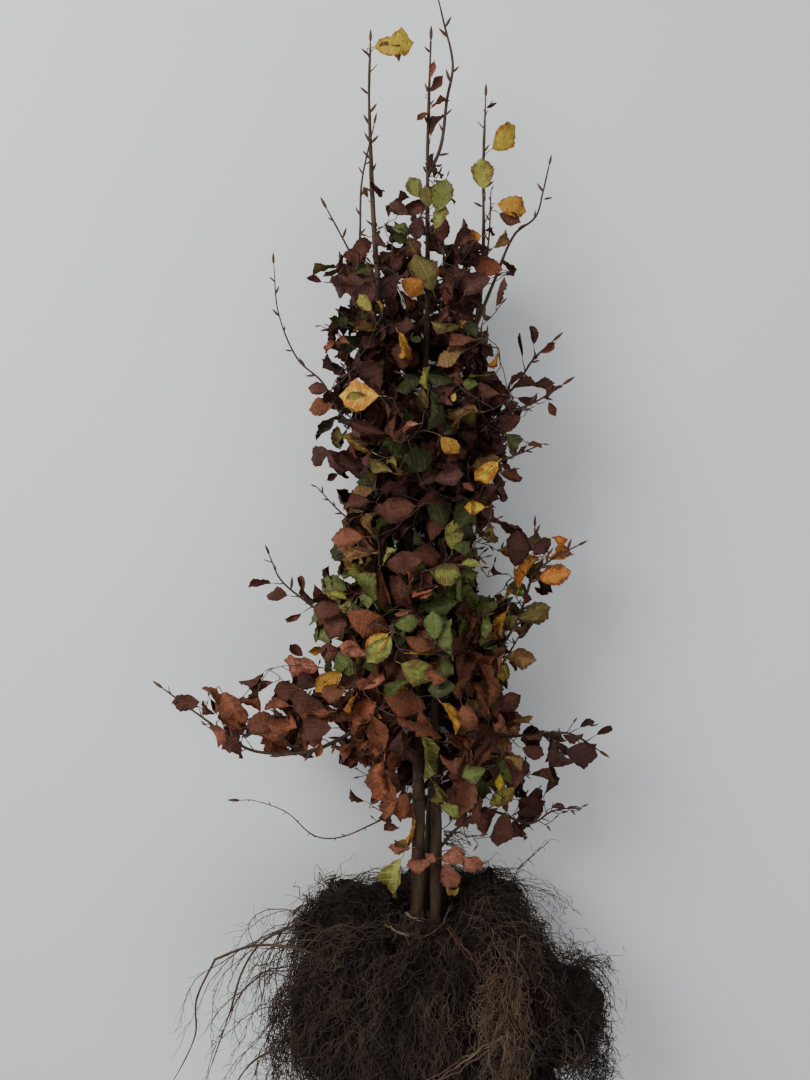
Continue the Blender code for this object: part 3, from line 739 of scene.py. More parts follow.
def bud_scales():
    return bark_finish("bud_scales", (0.115, 0.052, 0.030), (0.045, 0.020, 0.014), (0.20, 0.12, 0.07), 2.2)


def root_finish(name, base, dark, scale):
    """Root skin or fibre with soil on it."""
    finish = Finish(name, {"Specular IOR Level": 0.2})
    cloud = finish.speckle(finish.place(), 24.0)
    grit = finish.speckle(finish.place(), 420.0 * scale, detail=4.0)
    mask = (cloud * 2.2 + grit * 0.8 - 1.1).kept_in(0, 1)
    colour = finish.mix(mask, dark, base)
    return finish.surface(colour=colour, roughness=0.78 + grit * 0.2, normal=finish.bump(grit, 0.0006, 0.8))


def root_skin():
    return root_finish("root_skin", (0.105, 0.066, 0.044), (0.045, 0.028, 0.020), 0.8)


def fibre_finishes():
    """The five shades of fine roots."""
    shades = {
        "dark": ("root_fibre_dark", (0.039, 0.027, 0.021), (0.018, 0.012, 0.010)),
        "brown": ("root_fibre_brown", (0.080, 0.054, 0.039), (0.036, 0.024, 0.018)),
        "tan": ("root_fibre_tan", (0.165, 0.112, 0.072), (0.080, 0.052, 0.034)),
        "pale": ("root_pale", (0.380, 0.290, 0.200), (0.200, 0.140, 0.090)),
        "red": ("root_red", (0.115, 0.056, 0.036), (0.055, 0.028, 0.018)),
    }
    return {shade: root_finish(*colours, 0.6) for shade, colours in shades.items()}


def painted_shade_heart_finish():
    """The inside of the root mass: crossing threads painted over near-black painted shade."""
    finish = Finish("root_heart", {"Specular IOR Level": 0.1})
    fine = finish.speckle(finish.place((1.0, 0.5, 1.0)), 190.0, detail=4.0)
    coarse = finish.speckle(finish.place((0.6, 1.0, 0.8)), 95.0, detail=4.0)
    thread = (1 - abs(fine - 0.5) * 16).kept_in(0, 1)
    strand = (1 - abs(coarse - 0.5) * 12).kept_in(0, 1)
    height = thread.math("MAXIMUM", strand)
    # Near-black painted shade for the tangle's shaded inside, with paler painted threads where the height
    # rises.
    colour = finish.mix(height * (0.35 + coarse), (0.006, 0.004, 0.003), (0.030, 0.020, 0.015))
    return finish.surface(colour=colour, roughness=0.8 + fine * 0.15, normal=finish.bump(height, 0.002, 0.9))


def floor_finish():
    finish = Finish("pale_floor", {"Specular IOR Level": 0.15})
    cloud = finish.speckle(finish.place(), 1.2)
    colour = finish.mix(cloud, (0.72, 0.72, 0.715), (0.76, 0.76, 0.755))
    return finish.surface(colour=colour, roughness=0.75 + cloud * 0.1)


def add_piece(name, mesh, material, slot, *nodes):
    """A finished piece of the plant, which stands for the CAD nodes that are named."""
    mesh.materials.clear()
    mesh.materials.append(material)
    piece = put_in_scene(name, mesh)
    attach(piece, "root")
    if nodes:
        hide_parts(*nodes)


def tube_mesh(name, routes, roundness):
    """One mesh of many tapering tubes. A route is its points and their radii."""
    curve = bpy.data.curves.new(name, "CURVE")
    curve.dimensions = "3D"
    curve.bevel_depth = 1.0
    curve.bevel_resolution = roundness
    curve.use_fill_caps = True
    for points, radii in routes:
        spline = curve.splines.new("POLY")
        spline.points.add(len(points) - 1)
        spline.points.foreach_set("co", [part for point in points for part in (*point, 1.0)])
        spline.points.foreach_set("radius", radii)
    mesh = finished_mesh(put_in_scene(name + "_line", curve))
    mesh.shade_smooth()
    return mesh


def keep_off_floor(mesh):
    """Lays whatever would sink into the floor flat on it."""
    co = np.empty(len(mesh.vertices) * 3, np.float32)
    mesh.vertices.foreach_get("co", co)
    co = co.reshape(-1, 3)
    sunk = co[:, 2] < FLOOR_REST
    co[sunk, 2] = FLOOR_REST + (FLOOR_REST - co[sunk, 2]) * 0.02
    mesh.vertices.foreach_set("co", co.ravel())
    mesh.update()


def add_tubes(name, routes, roundness, finish, slot):
    mesh = tube_mesh(name, routes, roundness)
    keep_off_floor(mesh)
    add_piece(name, mesh, finish, slot)


def limb_mesh(name, limb, thinness, relief):
    """A limb with bark relief: shallow lumps all over and a swelling at each old bud scar."""
    roundness, spacing, lump, scar_rings = relief
    line, radii = limb_route(limb, spacing, thinness)
    if scar_rings:
        for i in range(len(radii)):
            radii[i] *= 1 + SCAR_SWELLING * math.cos(math.tau * i / scar_rings) ** 8
    mesh = tube_mesh(name, [(line, radii)], roundness)
    form = bmesh.new()
    form.from_mesh(mesh)
    bmesh.ops.remove_doubles(form, verts=form.verts, dist=1e-6)
    bmesh.ops.recalc_face_normals(form, faces=form.faces)
    form.normal_update()
    for vert in form.verts:
        coarse = noise.noise(Vector((vert.co.x * 60, vert.co.y * 22, vert.co.z * 60)))
        fine = noise.noise(Vector((vert.co.x * 210, vert.co.y * 300, vert.co.z * 210)))
        vert.co += vert.normal * lump * (coarse + 0.45 * fine)
    form.to_mesh(mesh)
    form.free()
    mesh.shade_smooth()
    return mesh


class Skeleton:
    """Every place on the wood from which a twig can grow: where it is, the way it runs, how thick it is."""

    def __init__(self):
        self.places = []
        self.ways = []
        self.radii = []
        self.routes = []

    def add_line(self, line, radii):
        for place, after, radius in zip(line, line[1:], radii):
            self.places.append(tuple(place))
            self.ways.append(tuple((after - place).normalized()))
            self.radii.append(radius)

    def best_start(self, target, lowest):
        """The place that reaches a target soonest without doubling back down the wood."""
        places = np.array(self.places)
        apart = np.array(target) - places
        far = np.linalg.norm(apart, axis=1) + 1e-6
        forward = np.einsum("ij,ij->i", apart, np.array(self.ways)) / far
        doubling_back = 1.6 * np.maximum(0, 0.55 - forward)
        cost = far * (1 + doubling_back) + 0.004 / (np.array(self.radii) * 500 + 0.3)
        cost[places[:, 1] < lowest] = OUT_OF_REACH
        return int(np.argmin(cost))

    def grow(self, target, arriving, rng, tip=0.0006, foot_limit=0.0030, lowest=-OUT_OF_REACH):
        """A twig from the wood to a target, which it reaches in the arriving direction."""
        start = self.best_start(target, lowest)
        foot = Vector(self.places[start])
        way = Vector(self.ways[start])
        far = (target - foot).length
        straight = (target - foot).normalized()
        leave = foot + (way * 0.45 + straight * 0.75).normalized() * far * 0.36
        arrive = target - arriving.normalized() * far * 0.34
        count = max(4, math.ceil(far / 0.016) + 1)
        line = interpolate_bezier(foot, leave, arrive, target, count)
        aside = straight.cross(scatter(rng, 1)).normalized()
        for i in range(1, count - 1):
            zigzag = TWIG_ZIGZAG if i % 2 else -TWIG_ZIGZAG
            line[i] = line[i] + aside * (zigzag + rng.gauss(0, 0.0005))
        thick = min(self.radii[start] * 0.72, foot_limit, tip + far * 0.010)
        radii = [tip + (max(thick, tip) - tip) * (1 - i / (count - 1)) for i in range(count)]
        self.routes.append((line, radii))
        self.add_line(line, radii)
        return line


def rib_line(bends, sway):
    """The points of a leaf's midrib, one at each row, which curls down by the bends and sways to one side."""
    rib = [Vector((0, 0, 0))]
    for row in range(LEAF_ROWS):
        middle = (bends[row] + bends[row + 1]) / 2
        aside = sway * (row + 0.5) / LEAF_ROWS
        forward = math.cos(aside)
        step = Vector((math.sin(aside), forward * math.cos(middle), -forward * math.sin(middle)))
        rib.append(rib[-1] + step / LEAF_ROWS)
    return rib


def add_stalk(form):
    """A thin stalk below the foot of the blade. The whole leaf then moves up to start at the stalk's foot."""
    stalk = bmesh.ops.create_cone(
        form, segments=3, radius1=0.012, radius2=0.018, depth=STALK_LENGTH, cap_ends=False
    )
    upright = Matrix.Rotation(math.radians(90), 4, "X")
    place = Matrix.Translation((0, -STALK_LENGTH / 2, 0)) @ upright
    bmesh.ops.transform(form, matrix=place, verts=stalk["verts"])
    bmesh.ops.translate(form, vec=(0, STALK_LENGTH, 0), verts=form.verts)


def leaf_form(rng, fold, roll, wave, curl, crumple):
    """A leaf of unit length along Y, its face to +Z: pleated, toothed, folded at the rib, with a stalk."""
    form = bmesh.new()
    bmesh.ops.create_grid(form, x_segments=LEAF_COLUMNS, y_segments=LEAF_ROWS, size=0.5)
    phase = rng.uniform(0, math.tau)
    twist = rng.uniform(-0.45, 0.45)
    sway = rng.uniform(-0.22, 0.22)
    bends = [curl * (row / LEAF_ROWS) ** 1.4 for row in range(LEAF_ROWS + 1)]
    rib = rib_line(bends, sway)
    places = {}
    for vert in form.verts:
        across, along = vert.co.x * 2, vert.co.y + 0.5
        row = round(along * LEAF_ROWS)
        hand = 1 if across > 0 else -1
        side = abs(across)
        places[vert.index] = (vert.co.x + 0.5, along)
        outline = max(0.0, math.sin(math.pi * along**0.87)) ** (0.70 + 0.52 * along**2)
        tooth = TOOTH_OUT if row % 2 else TOOTH_IN
        half = LEAF_HALF_WIDTH * outline * (1 + tooth * side**4)
        opening = fold + roll * side * 0.5 + hand * twist * along * 0.4
        out = half * side * math.cos(opening)
        up = half * side * math.sin(opening)
        up += PLEAT * (1 if row % 2 else -1) * math.sin(math.pi * side * 0.8) * outline
        up += wave * half * side**2 * math.sin(math.tau * 1.5 * along + phase + (1.7 if hand > 0 else 0))
        up += crumple * noise.noise(Vector((across * 2.2, along * 4.5, phase))) * outline
        slant = VEIN_SLANT * half * side
        tangent = Vector((0, math.cos(bends[row]), -math.sin(bends[row])))
        above = Vector((0, math.sin(bends[row]), math.cos(bends[row])))
        vert.co = rib[row] + Vector((hand * out, 0, 0)) + tangent * slant + above * up
    layer = form.loops.layers.uv.new("leaf")
    for face in form.faces:
        for loop in face.loops:
            loop[layer].uv = places[loop.vert.index]
    add_stalk(form)
    bmesh.ops.remove_doubles(form, verts=form.verts, dist=1e-4)
    form.verts.index_update()
    return form


def bud_form():
    """One long pointed bud of unit length along Y."""
    form = bmesh.new()
    bmesh.ops.create_uvsphere(form, u_segments=5, v_segments=6, radius=0.5)
    bmesh.ops.rotate(form, matrix=Matrix.Rotation(math.radians(-90), 3, "X"), verts=form.verts)
    for vert in form.verts:
        along = vert.co.y + 0.5
        belly = 0.125 * math.sin(math.pi * along**0.75) ** 0.8 if 0 < along < 1 else 0.0
        ring = Vector((vert.co.x, 0, vert.co.z))
        width = ring.normalized() * belly if ring.length > 1e-5 else ring
        vert.co = Vector((width.x, along, width.z))
    bmesh.ops.recalc_face_normals(form, faces=form.faces)
    form.verts.index_update()
    return form


def corners_in_order(face):
    """A face's corners from its lowest vertex on. The operators leave to chance where they start."""
    corners = list(face.loops)
    first = min(range(len(corners)), key=lambda i: corners[i].vert.index)
    return corners[first:] + corners[:first]


class Shape:
    """A small form as plain arrays, ready to be set out many times, with its faces in a fixed order."""

    def __init__(self, form):
        faces = [corners_in_order(face) for face in form.faces]
        faces.sort(key=lambda corners: [corner.vert.index for corner in corners])
        corners = [corner for face in faces for corner in face]
        layer = form.loops.layers.uv.get("leaf")
        self.points = np.array([tuple(vert.co) for vert in form.verts])
        self.corners = np.array([corner.vert.index for corner in corners])
        self.sizes = np.array([len(face) for face in faces])
        if layer:
            self.uv = np.array([tuple(corner[layer].uv) for corner in corners])
        else:
            self.uv = np.zeros((len(corners), 2))
        form.free()


class Planting:
    """Copies of small forms that will be joined into one mesh."""

    def __init__(self):
        self.points = []
        self.corners = []
        self.sizes = []
        self.uv = []
        self.own = []
        self.count = 0

    def set_out(self, shape, foot, along, face, length, own, width=1.0):
        along = along.normalized()
        face = (face - along * face.dot(along)).normalized()
        across = along.cross(face)
        turned = np.array([across * width, along, face])
        points = shape.points @ turned * length + np.array(foot)
        if not fits(points):
            return False
        self.points.append(points)
        self.corners.append(shape.corners + self.count)
        self.sizes.append(shape.sizes)
        self.uv.append(shape.uv)
        self.own.append(np.full(len(points), own))
        self.count += len(points)
        return True

    def mesh(self, name):
        points = np.concatenate(self.points).astype(np.float32)
        corners = np.concatenate(self.corners).astype(np.int32)
        sizes = np.concatenate(self.sizes).astype(np.int32)
        mesh = bpy.data.meshes.new(name)
        mesh.vertices.add(len(points))
        mesh.vertices.foreach_set("co", points.ravel())
        mesh.loops.add(len(corners))
        mesh.loops.foreach_set("vertex_index", corners)
        mesh.polygons.add(len(sizes))
        mesh.polygons.foreach_set("loop_start", np.concatenate([[0], np.cumsum(sizes)[:-1]]).astype(np.int32))
        layer = mesh.uv_layers.new(name="leaf")
        layer.data.foreach_set("uv", np.concatenate(self.uv).astype(np.float32).ravel())
        own = mesh.attributes.new("own", "FLOAT", "POINT")
        own.data.foreach_set("value", np.concatenate(self.own).astype(np.float32))
        mesh.update(calc_edges=True)
        mesh.validate()
        mesh.shade_smooth()
        keep_off_floor(mesh)
        return mesh


def fits(points):
    """Whether points stay within the room that looks may take."""
    low = np.array([cad_low[0] - BOX_SPARE, cad_low[1] - BOX_SPARE, DEEPEST_SINK])
    high = np.array(cad_high) + BOX_SPARE_HIGH
    return bool((points > low).all() and (points < high).all())


def leaf_forms():
    """Several leaves of each habit."""
    rng = random.Random(11)
    forms = {}
    for habit, (fold, roll, wave, curl, crumple, count) in LEAF_HABITS.items():
        forms[habit] = []
        for _ in range(count):
            turns = [part * rng.uniform(0.65, 1.35) for part in (fold, roll, wave, curl, crumple)]
            forms[habit].append(Shape(leaf_form(rng, *turns)))
    return forms


def lies_in(tree, point):
    near, normal, _, _ = tree.find_nearest(point)
    return (point - near).dot(normal) < 0


def volume_of(node):
    form = bmesh.new()
    form.from_mesh(frame["nodes"][node].data)
    volume = abs(form.calc_volume())
    form.free()
    return volume


def crown_axis(y):
    """The middle of the crown at a height, in the row's frame."""
    w = y - COLLAR.y
    return Vector((COLLAR.x + 0.018 - 0.024 * min(1.0, max(0.0, w)), y, COLLAR.z))


def spray_targets():
    """Where the sprays of leaves end: points spread through every mass, more of them towards its outside."""
    rng = random.Random(5)
    targets = []
    for node in nodes_of("foliage"):
        tree = skin_tree(frame["nodes"][node].data)
        low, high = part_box(node)
        middle = (low + high) / 2
        lone = abs(middle.x - COLLAR.x) > LONE_MASS
        share = SPRAY_SHARE.get(node, 1.0)
        wanted = max(round(volume_of(node) * 1000 * SPRAYS_PER_LITRE * share), round(LEAST_SPRAYS * share))
        tries = 0
        while wanted and tries < MOST_TRIES:
            tries += 1
            point = Vector(rng.uniform(a, b) for a, b in zip(low, high))
            if not lies_in(tree, point):
                continue
            axis = middle if lone else crown_axis(point.y)
            off = point - axis
            if not lone and rng.random() > 0.22 + (off.length / CROWN_RADIUS) ** 2:
                continue
            stretch = rng.uniform(0.72, 0.98) if rng.random() < 0.88 else rng.uniform(0.98, 1.14)
            targets.append((axis + off * stretch, node))
            wanted -= 1
    targets.sort(key=lambda entry: (entry[0] - crown_axis(entry[0].y)).length)
    return targets


def usual_length(height):
    return next(length for top, length in LEAF_LENGTHS if height < top)


def colour_at(point, node, rng):
    height = height_of(point)
    usual = next(shares for top, shares in COLOUR_STRETCHES if height < top)
    return pick(MASS_COLOURS.get(node, usual), rng)


def place_of_pixel(across, down, out):
    """The point that the viewer sees at a pixel of the photograph, so far out from the collar."""
    ray = Vector((across - PHOTO_WIDTH / 2, PHOTO_HEIGHT / 2 - down, -FOCUS))
    ray.rotate(Matrix.Rotation(-TILT, 3, "X"))
    return in_row(VIEWER + ray * (VIEWER.z - out) / -ray.z)


def pixel_of(point):
    """The pixel of the photograph at which the viewer sees a point."""
    ray = point - in_row(VIEWER)
    ray.rotate(Matrix.Rotation(TILT, 3, "X"))
    return PHOTO_WIDTH / 2 - FOCUS * ray.x / ray.z, PHOTO_HEIGHT / 2 + FOCUS * ray.y / ray.z


def keep_leaders_bare(foliage):
    """Keeps the leaves from before the upper stretches of the stems, which show through the crown."""
    for name, height in BARE_ABOVE.items():
        line, radii = limb_route(WOOD_LIMBS[name], SKELETON_SPACING)
        for point, radius in zip(line, radii):
            if height_of(point) > height:
                foliage.clear.append((*pixel_of(point), radius, point.z))


def is_open(point):
    across, down = pixel_of(point)
    return any(left < across < right and top < down < bottom for left, top, right, bottom in OPEN_PLACES)


def hides_stems(point):
    """Whether a leaf here would hang before the bare foot of the stems, or lower than the lowest leaves."""
    across, along, out = point - COLLAR
    left, right, top = BARE_FOOT
    if along < LOWEST_LEAF + 0.10 * out:
        return True
    return left < across < right and along < top + 0.3 * out and out > -0.005


class Foliage:
    """All the leaves and buds, gathered by colour."""

    def __init__(self):
        self.forms = leaf_forms()
        self.leaves = {name: Planting() for name in LEAF_COLOURS}
        self.buds = Planting()
        self.bud = Shape(bud_form())
        self.clear = []  # what no leaf may hang before: its pixel, half its width, its height over the floor

    def keep_clear(self, middle, length):
        self.clear.append((*pixel_of(middle), length * 0.30, middle.z - 0.012))

    def is_before_placed(self, middle, length):
        across, down = pixel_of(middle)
        x, y, reach, depth = np.array(self.clear).T
        apart = np.hypot(x - across, y - down) * VIEWER.z / FOCUS
        return bool(((apart < reach + length * 0.25) & (middle.z > depth)).any())

    def add_leaf(self, rng, foot, along, face, colour, length, habit=None):
        own_habit = pick(HABITS.get(colour, USUAL_HABITS), rng)
        shape = rng.choice(self.forms[habit or own_habit])
        width = rng.uniform(0.86, 1.10)
        middle = foot + along.normalized() * length * LEAF_MIDDLE
        if habit or not (hides_stems(middle) or is_open(middle) or self.is_before_placed(middle, length)):
            self.leaves[colour].set_out(shape, foot, along, face, length, rng.random(), width)

    def add_bud(self, rng, foot, along, length):
        self.buds.set_out(self.bud, foot, along, scatter(rng, 1), length, rng.random())


def shown_place(skin, before, across, down, out=None):
    """The place that shows at a pixel: so far out, or else a little before the front of the solids there."""
    if out is not None:
        return place_of_pixel(across, down, out * 0.001)
    eye = in_row(VIEWER)
    sight = (place_of_pixel(across, down, 0) - eye).normalized()
    front = skin.ray_cast(eye, sight)[0]
    return place_of_pixel(across, down, BESIDE_MASSES) if front is None else front - sight * before


def place_leaves(foliage, skeleton):
    """The leaves whose place shows, each on a twig or stalk from the nearest wood."""
    rng = random.Random(61)
    skin = skin_of("foliage")
    keep_leaders_bare(foliage)
    for colour, by_habit in PLACED_LEAVES.items():
        for habit, leaves in by_habit.items():
            for across, down, heading, pixels, *out in leaves:
                place = shown_place(skin, BEFORE_CROWN, across, down, *out)
                turn = math.radians(heading)
                way = Vector((math.cos(turn), math.sin(turn), rng.uniform(-0.12, 0.12))).normalized()
                length = pixels * (in_row(VIEWER).z - place.z) / FOCUS
                foot = place - way * STALK_LENGTH * length
                skeleton.grow(foot, way, rng, lowest=COLLAR.y + 0.02)
                tilt = math.radians(rng.uniform(*HABIT_TURNS[habit])) * rng.choice((-1, 1))
                face = Quaternion(way, tilt) @ OUT
                foliage.keep_clear(foot + way * length * LEAF_MIDDLE, length)
                foliage.add_leaf(rng, foot, way, face, colour, length, habit)


def outward_at(point):
    off = point - crown_axis(point.y)
    off.y = 0
    return off.normalized() if off.length > 0.01 else OUT.copy()


def shaken(direction, amount, rng):
    return (direction + scatter(rng, amount)).normalized()


def crooked_line(start, way, step, count, droop, shake, rng):
    """A short line that turns a little, and droops, at every step."""
    line = [start]
    for _ in range(count):
        line.append(line[-1] + way * step)
        way = shaken(way - UP_THE_STEMS * droop, shake, rng)
    return line


def droop_at(height):
    """How much the leaves hang. The upper ones rise."""
    return 0.60 if height < 0.42 else 0.25 if height < 0.60 else -0.10


def dress_twig(foliage, line, node, rng, colour, leaves):
    """Leaves on alternate sides of a twig's outer part, and a bud at its tip."""
    tip = line[-1]
    height = height_of(tip)
    face = shaken(outward_at(tip) * 0.70 + OUT * 0.30 + UP_THE_STEMS * 0.30, 0.35, rng)
    reach = 0.0
    step = len(line) - 1
    for number in range(leaves):
        while step > 1 and reach < number * LEAF_SPACING:
            reach += (line[step] - line[step - 1]).length
            step -= 1
        knot = line[min(step + 1, len(line) - 1)]
        way = (knot - line[step]).normalized()
        side = way.cross(face).normalized() * (1 if number % 2 else -1)
        along = way * 0.9 + side * 0.2 if number == 0 else way * 0.65 + side * 0.75
        along = shaken(along - UP_THE_STEMS * droop_at(height), 0.22, rng)
        shade = colour if rng.random() < MATCH_OF_SPRAY else colour_at(tip, node, rng)
        length = usual_length(height) * rng.uniform(0.68, 1.22)
        foliage.add_leaf(rng, knot, along, shaken(face, 0.45, rng), shade, length)
    foliage.add_bud(rng, tip, shaken(line[-1] - line[-2], 0.002, rng), rng.uniform(*TWIG_BUDS))


def grow_crown(skeleton, foliage):
    """Sprays grown from the limbs to every target, the inner ones first."""
    rng = random.Random(23)
    for target, node in spray_targets():
        outward = outward_at(target)
        height = height_of(target)
        rise = 0.85 if height > 0.5 else 0.35
        arriving = shaken(outward * 0.55 + UP_THE_STEMS * rise, 0.30, rng)
        line = skeleton.grow(target, arriving, rng, lowest=LOWEST_WOOD)
        colour = colour_at(target, node, rng)
        dress_twig(foliage, line, node, rng, colour, rng.choice(SPRAY_LEAVES))


def grow_links(skeleton):
    """The hidden lengths of wood that join each outer bough to a stem."""
    rng = random.Random(31)
    for name, limb in {**LEADERS, **BOUGHS}.items():
        line, radii = limb_route(limb, SKELETON_SPACING)
        if name not in JOINED_LIMBS:
            skeleton.grow(line[0], line[1] - line[0], rng, tip=radii[0], foot_limit=radii[0] * 1.3)
        skeleton.add_line(line, radii)


# Buds and leaves along the bare limbs: the distance between them, the share of them that are leaves, the
# leaf colours, their length, and the share of the limb that stays clear at its foot.
LIMB_DRESS = {
    "stem_left": (0.022, 0.10, {"plum": 1}, 0.030, 0.84),
    "stem_right": (0.022, 0.10, {"plum": 1}, 0.030, 0.90),
    "stem_back": (0.024, 0.10, {"plum": 1}, 0.030, 0.88),
    "leader_tall": (0.031, 0.00, {"plum": 1}, 0.032, 0.15),
    "leader_twin": (0.027, 0.25, {"plum": 1}, 0.030, 0.35),
    "leader_curved": (0.028, 0.10, {"plum": 1}, 0.030, 0.50),
    "bough_upper_left": (0.026, 0.00, {"plum": 1}, 0.028, 0.30),
    "bough_left_wisp": (0.026, 0.00, {"plum": 1}, 0.026, 0.35),
    "bough_mid_left": (0.016, 0.55, {"mahogany": 2, "copper": 1}, 0.034, 0.20),
    "bough_low_left": (0.020, 0.60, {"copper": 2, "rust": 1}, 0.050, 0.35),
    "bough_low_left_reach": (0.015, 0.60, {"copper": 3, "mahogany": 2}, 0.046, 0.05),
    "bough_bare_left": (0.024, 0.00, {"mahogany": 1}, 0.013, 0.25),
    "bough_mid_right": (0.018, 0.45, {"olive": 1, "gold": 1}, 0.046, 0.30),
    "bough_mid_right_side": (0.018, 0.30, {"gold": 1}, 0.044, 0.20),
    "bough_low_right": (0.014, 0.75, {"mahogany": 3, "plum": 2}, 0.030, 0.25),
    "bough_skirt_right": (0.014, 0.70, {"mahogany": 3, "plum": 1}, 0.038, 0.20),
    "bough_upper_right": (0.017, 0.60, {"plum": 2, "mahogany": 1}, 0.034, 0.15),
    "bough_right_reach": (0.017, 0.60, {"plum": 2, "mahogany": 2}, 0.036, 0.15),
}


def dress_limbs(foliage, skeleton):
    """Buds and small leaves on alternate sides of the limbs that stand clear of the crown."""
    rng = random.Random(47)
    for name, (spacing, leafy, colours, length, clear) in LIMB_DRESS.items():
        line, radii = limb_route(WOOD_LIMBS[name], spacing)
        for i in range(max(1, int(len(line) * clear)), len(line)):
            way = way_at(line, i)
            side = way.cross(OUT).normalized() * (1 if i % 2 else -1)
            lean = shaken(way * 0.80 + side * 0.66, 0.18, rng)
            foot = line[i] + way * spacing * rng.uniform(-0.32, 0.32) + lean * radii[i] * 0.5
            if i == len(line) - 1:
                foliage.add_bud(rng, line[i], way, rng.uniform(*LIMB_BUDS))
            elif rng.random() < leafy:
                spur = [foot, foot + lean * 0.006, foot + shaken(lean, 0.1, rng) * 0.013]
                skeleton.routes.append((spur, [0.0009, 0.0008, 0.0006]))
                face = shaken(OUT, 0.45, rng)
                colour = pick(colours, rng)
                foliage.add_leaf(rng, spur[-1], lean, face, colour, length * rng.uniform(0.75, 1.2))
            else:
                foliage.add_bud(rng, foot, lean, min(0.019, length * rng.uniform(0.36, 0.62)))


def grow_side_twigs(foliage, skeleton, rng):
    """The thin twigs that show beside the boughs."""
    for points in SIDE_TWIGS:
        line, radii = limb_route((points, *SIDE_TWIG_RADII), 0.014)
        skeleton.routes.append((line, radii))
        for i in range(2, len(line)):
            way = way_at(line, i)
            side = way.cross(OUT) * (1 if i % 2 else -1)
            foliage.add_bud(rng, line[i], shaken(way + side * 0.7, 0.15, rng), rng.uniform(*SIDE_TWIG_BUDS))


def grow_tuft(skeleton, rng):
    """The fine tuft of twigs beside the foot of the stems."""
    for _ in range(TUFT_TWIGS):
        foot = in_row((TUFT_ACROSS, rng.uniform(*TUFT_HEIGHTS), TUFT_OUT))
        way = Vector((1.0, rng.uniform(-0.9, 0.35), rng.uniform(-0.2, 0.5))).normalized()
        line = crooked_line(foot, way, TUFT_STEP, 6, 0, 0.22, rng)
        skeleton.routes.append((line, tapered(len(line), 0.0006, 0.0003)))


def grow_bare_tips(foliage, skeleton, rng):
    """Twig tips with buds only, which stand out round the crown."""
    targets = [target for target, _ in spray_targets() if not hides_stems(target)]
    for target in rng.sample(targets[len(targets) // 2 :], BARE_TIPS):
        arriving = shaken(outward_at(target) * 0.8 + UP_THE_STEMS * 0.7, 0.30, rng)
        tip = target + arriving * rng.uniform(0.015, 0.040)
        if inside_room([tip]):
            line = skeleton.grow(tip, arriving, rng, lowest=LOWEST_WOOD)
            for i in range(len(line) - 3, len(line)):
                lean = shaken(way_at(line, i), 0.35, rng)
                foliage.add_bud(rng, line[i], lean, rng.uniform(*BARE_TIP_BUDS))


def grow_fine_twigs(foliage, skeleton):
    rng = random.Random(83)
    grow_side_twigs(foliage, skeleton, rng)
    grow_tuft(skeleton, rng)
    grow_bare_tips(foliage, skeleton, rng)


def make_leaves(foliage):
    """One joined piece for each colour of leaf. Four of them stand for the masses of their colour."""
    slot_nodes = {}
    for entry in frame["record"]["subparts"]:
        if entry["node"].startswith("foliage"):
            slot_nodes.setdefault(entry["material_slot"], []).append(entry["node"])
    for colour, (slot, *looks) in LEAF_COLOURS.items():
        mesh = foliage.leaves[colour].mesh("leaves_" + colour)
        finish = leaf_finish("leaf_" + colour, *looks)
        nodes = slot_nodes[slot] if colour in MASS_LEAVES else []
        add_piece("leaves_" + colour, mesh, finish, slot, *nodes)


def make_wood(skeleton, foliage):
    bark = stem_bark()
    young = twig_bark()
    for name, limb in WOOD_LIMBS.items():
        is_stem = name in STEMS
        relief = STEM_RELIEF if is_stem else BOUGH_RELIEF
        mesh = limb_mesh(name, limb, LIMB_THINNESS.get(name, 1.0), relief)
        finish, slot = (bark, "bark") if is_stem else (young, "young_bark")
        add_piece(name + "_bark", mesh, finish, slot, name)
    add_tubes("twigs", skeleton.routes, 1, young, "young_bark")
    add_piece("buds", foliage.buds.mesh("buds"), bud_scales(), "young_bark")


def root_core():
    """The heart of the root mass, near black as painted shade: the CAD masses run together, drawn in and made
    uneven.
    """
    form = bmesh.new()
    for node in nodes_of("root_mass"):
        first = len(form.verts)
        form.from_mesh(frame["nodes"][node].data)
        form.verts.ensure_lookup_table()
        low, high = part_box(node)
        middle = (low + high) / 2
        for vert in form.verts[first:]:
            vert.co = middle + (vert.co - middle) * MASS_SWELL
    bmesh.ops.remove_doubles(form, verts=form.verts, dist=1e-6)
    mesh = bpy.data.meshes.new("root_heart")
    form.to_mesh(mesh)
    form.free()
    guide = put_in_scene("root_heart_guide", mesh)
    remesh = guide.modifiers.new("one_skin", "REMESH")
    remesh.mode = "VOXEL"
    remesh.voxel_size = HEART_CELL
    skin = finished_mesh(guide)
    form = bmesh.new()
    form.from_mesh(skin)
    for _ in range(4):
        bmesh.ops.smooth_vert(
            form, verts=form.verts, factor=0.5, use_axis_x=True, use_axis_y=True, use_axis_z=True
        )
    form.normal_update()
    for vert in form.verts:
        lump = sum(noise.noise(vert.co * fineness) * height for fineness, height in HEART_LUMPS)
        vert.co += vert.normal * (lump - HEART_DEPTH)
        vert.co.z = max(vert.co.z, 0.004)
    form.to_mesh(skin)
    form.free()
    skin.shade_smooth()
    return skin


def root_flow(point, seed):
    """Which way the roots run at a place: out from the collar and down, in strands that wander together."""
    away = (point - COLLAR).normalized()
    swirl = noise.noise_vector(point * 17 + Vector((seed, 0, 0)))
    curl = noise.noise_vector(point * 60 + Vector((0, seed, 0)))
    return away * 0.35 - UP_THE_STEMS * 0.60 + swirl * 1.25 + curl * 1.1


